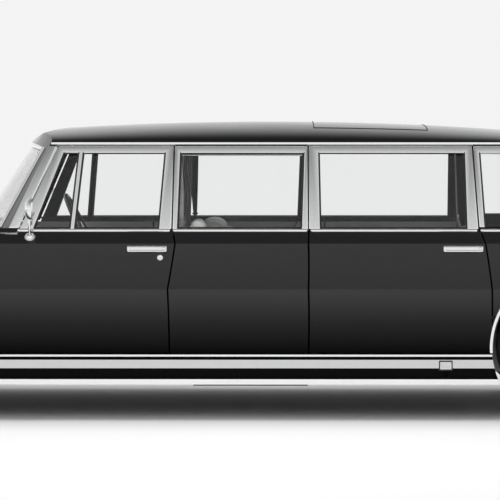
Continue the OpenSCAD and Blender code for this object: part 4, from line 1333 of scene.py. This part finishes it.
curtainRail = {"above": 0.004, "radius": 0.0045,
               "run": ((0.315, 0.03), (0.312, 0), (-0.31, 0), (-0.313, 0.03))}    # along and outwards
railZ = curtain["high"] + curtainRail["above"]
railY = paneAt(railZ) - curtain["inset"]
railRun = [(x, railY + out, railZ) for x, out in curtainRail["run"]]
bothSides(bentRod("rail", railRun, curtainRail["radius"]), "curtainRail", "centre_panels", "chrome")

curtainTie = {"z": 0.992, "half": 0.013, "radius": 0.004,
              "loop": ((1, 0.073), (-1, 0.073), (-1, 0.041), (1, 0.041), (1, 0.073))}     # end, depth in
tieY = paneAt(curtainTie["z"])
tieRun = [(curtain["footX"] + curtainTie["half"] * way, tieY - inset, curtainTie["z"])
          for way, inset in curtainTie["loop"]]
bothSides(bentRod("tie", tieRun, curtainTie["radius"]), "curtainTie", "centre_panels", "leather", sealRubber)
print("curtains are made")


# cover of the jacking point on a dark seal: two corners, border and depth of the field, slot, finish

jackLids = {
    # the cover takes the sill's finish, so its chrome lies in the band of painted shade
    "jackCover": ((-1.067, 0.925, 0.262), (-1.007, 0.9486, 0.304), (0.006, -0.001), "chrome", shadedSillFinish),
    "jackSeal": ((-1.073, 0.925, 0.256), (-1.001, 0.9472, 0.310), (0.004, -0.0006), "tyre", sealRubber),
}
lidRounding = 0.004
for label, (low, high, field, slotName, finish) in jackLids.items():
    lid = roundedBar("lid", low, high, lidRounding)
    dishFront(lid, *field)
    bothSides(lid, label, "sill_mouldings", slotName, finish)


# lock pins on the doors' sills

lockPin = {
    "y": 0.842, "z": 0.976,
    "x": {"front": splitX + 0.09, "rear": -0.425},
    "outline": [(0, 0.05), (0.003, 0.05), (0.0048, 0.044), (0.0035, 0.034), (0.0035, -0.02)],
}
for end, pinX in lockPin["x"].items():
    pin = spunAbout("pin", lockPin["outline"], (pinX, lockPin["y"], lockPin["z"]), upward, steps=20)
    bothSides(pin, "lockPin_" + end, "door_" + end, "rim_plastic")


# inside mirror and the dials of the dashboard

viewMirror = {
    "low": (1.062, -0.11, 1.262), "high": (1.082, 0.11, 1.318), "rounding": 0.008,
    "stem": ((1.075, 0, 1.3), (1.095, 0, 1.345), (1.09, 0, 1.372)), "stemRadius": 0.006,
}
glassMirror = roundedBar("glassMirror", viewMirror["low"], viewMirror["high"], viewMirror["rounding"])
stem = bentRod("stem", viewMirror["stem"], viewMirror["stemRadius"])
finishPiece(joined("insideMirror", [glassMirror, stem]), "body", "chrome")

dials = {
    "x": frontPane[1].x + 0.05, "y": (0.3, 0.42, 0.54), "z": 0.83,
    "outline": [(0, 0.004), (0.04, 0.004), (0.041, 0.012), (0.047, 0.012), (0.05, 0.006), (0.05, 0)],
}
for k, y in enumerate(dials["y"]):
    place = (dials["x"], y, dials["z"])
    dial = spunAbout(f"dial_{k + 1}", dials["outline"], place, (-1, 0, 0), steps=40)
    finishPiece(dial, "body", "chrome")
print("small fittings are made")
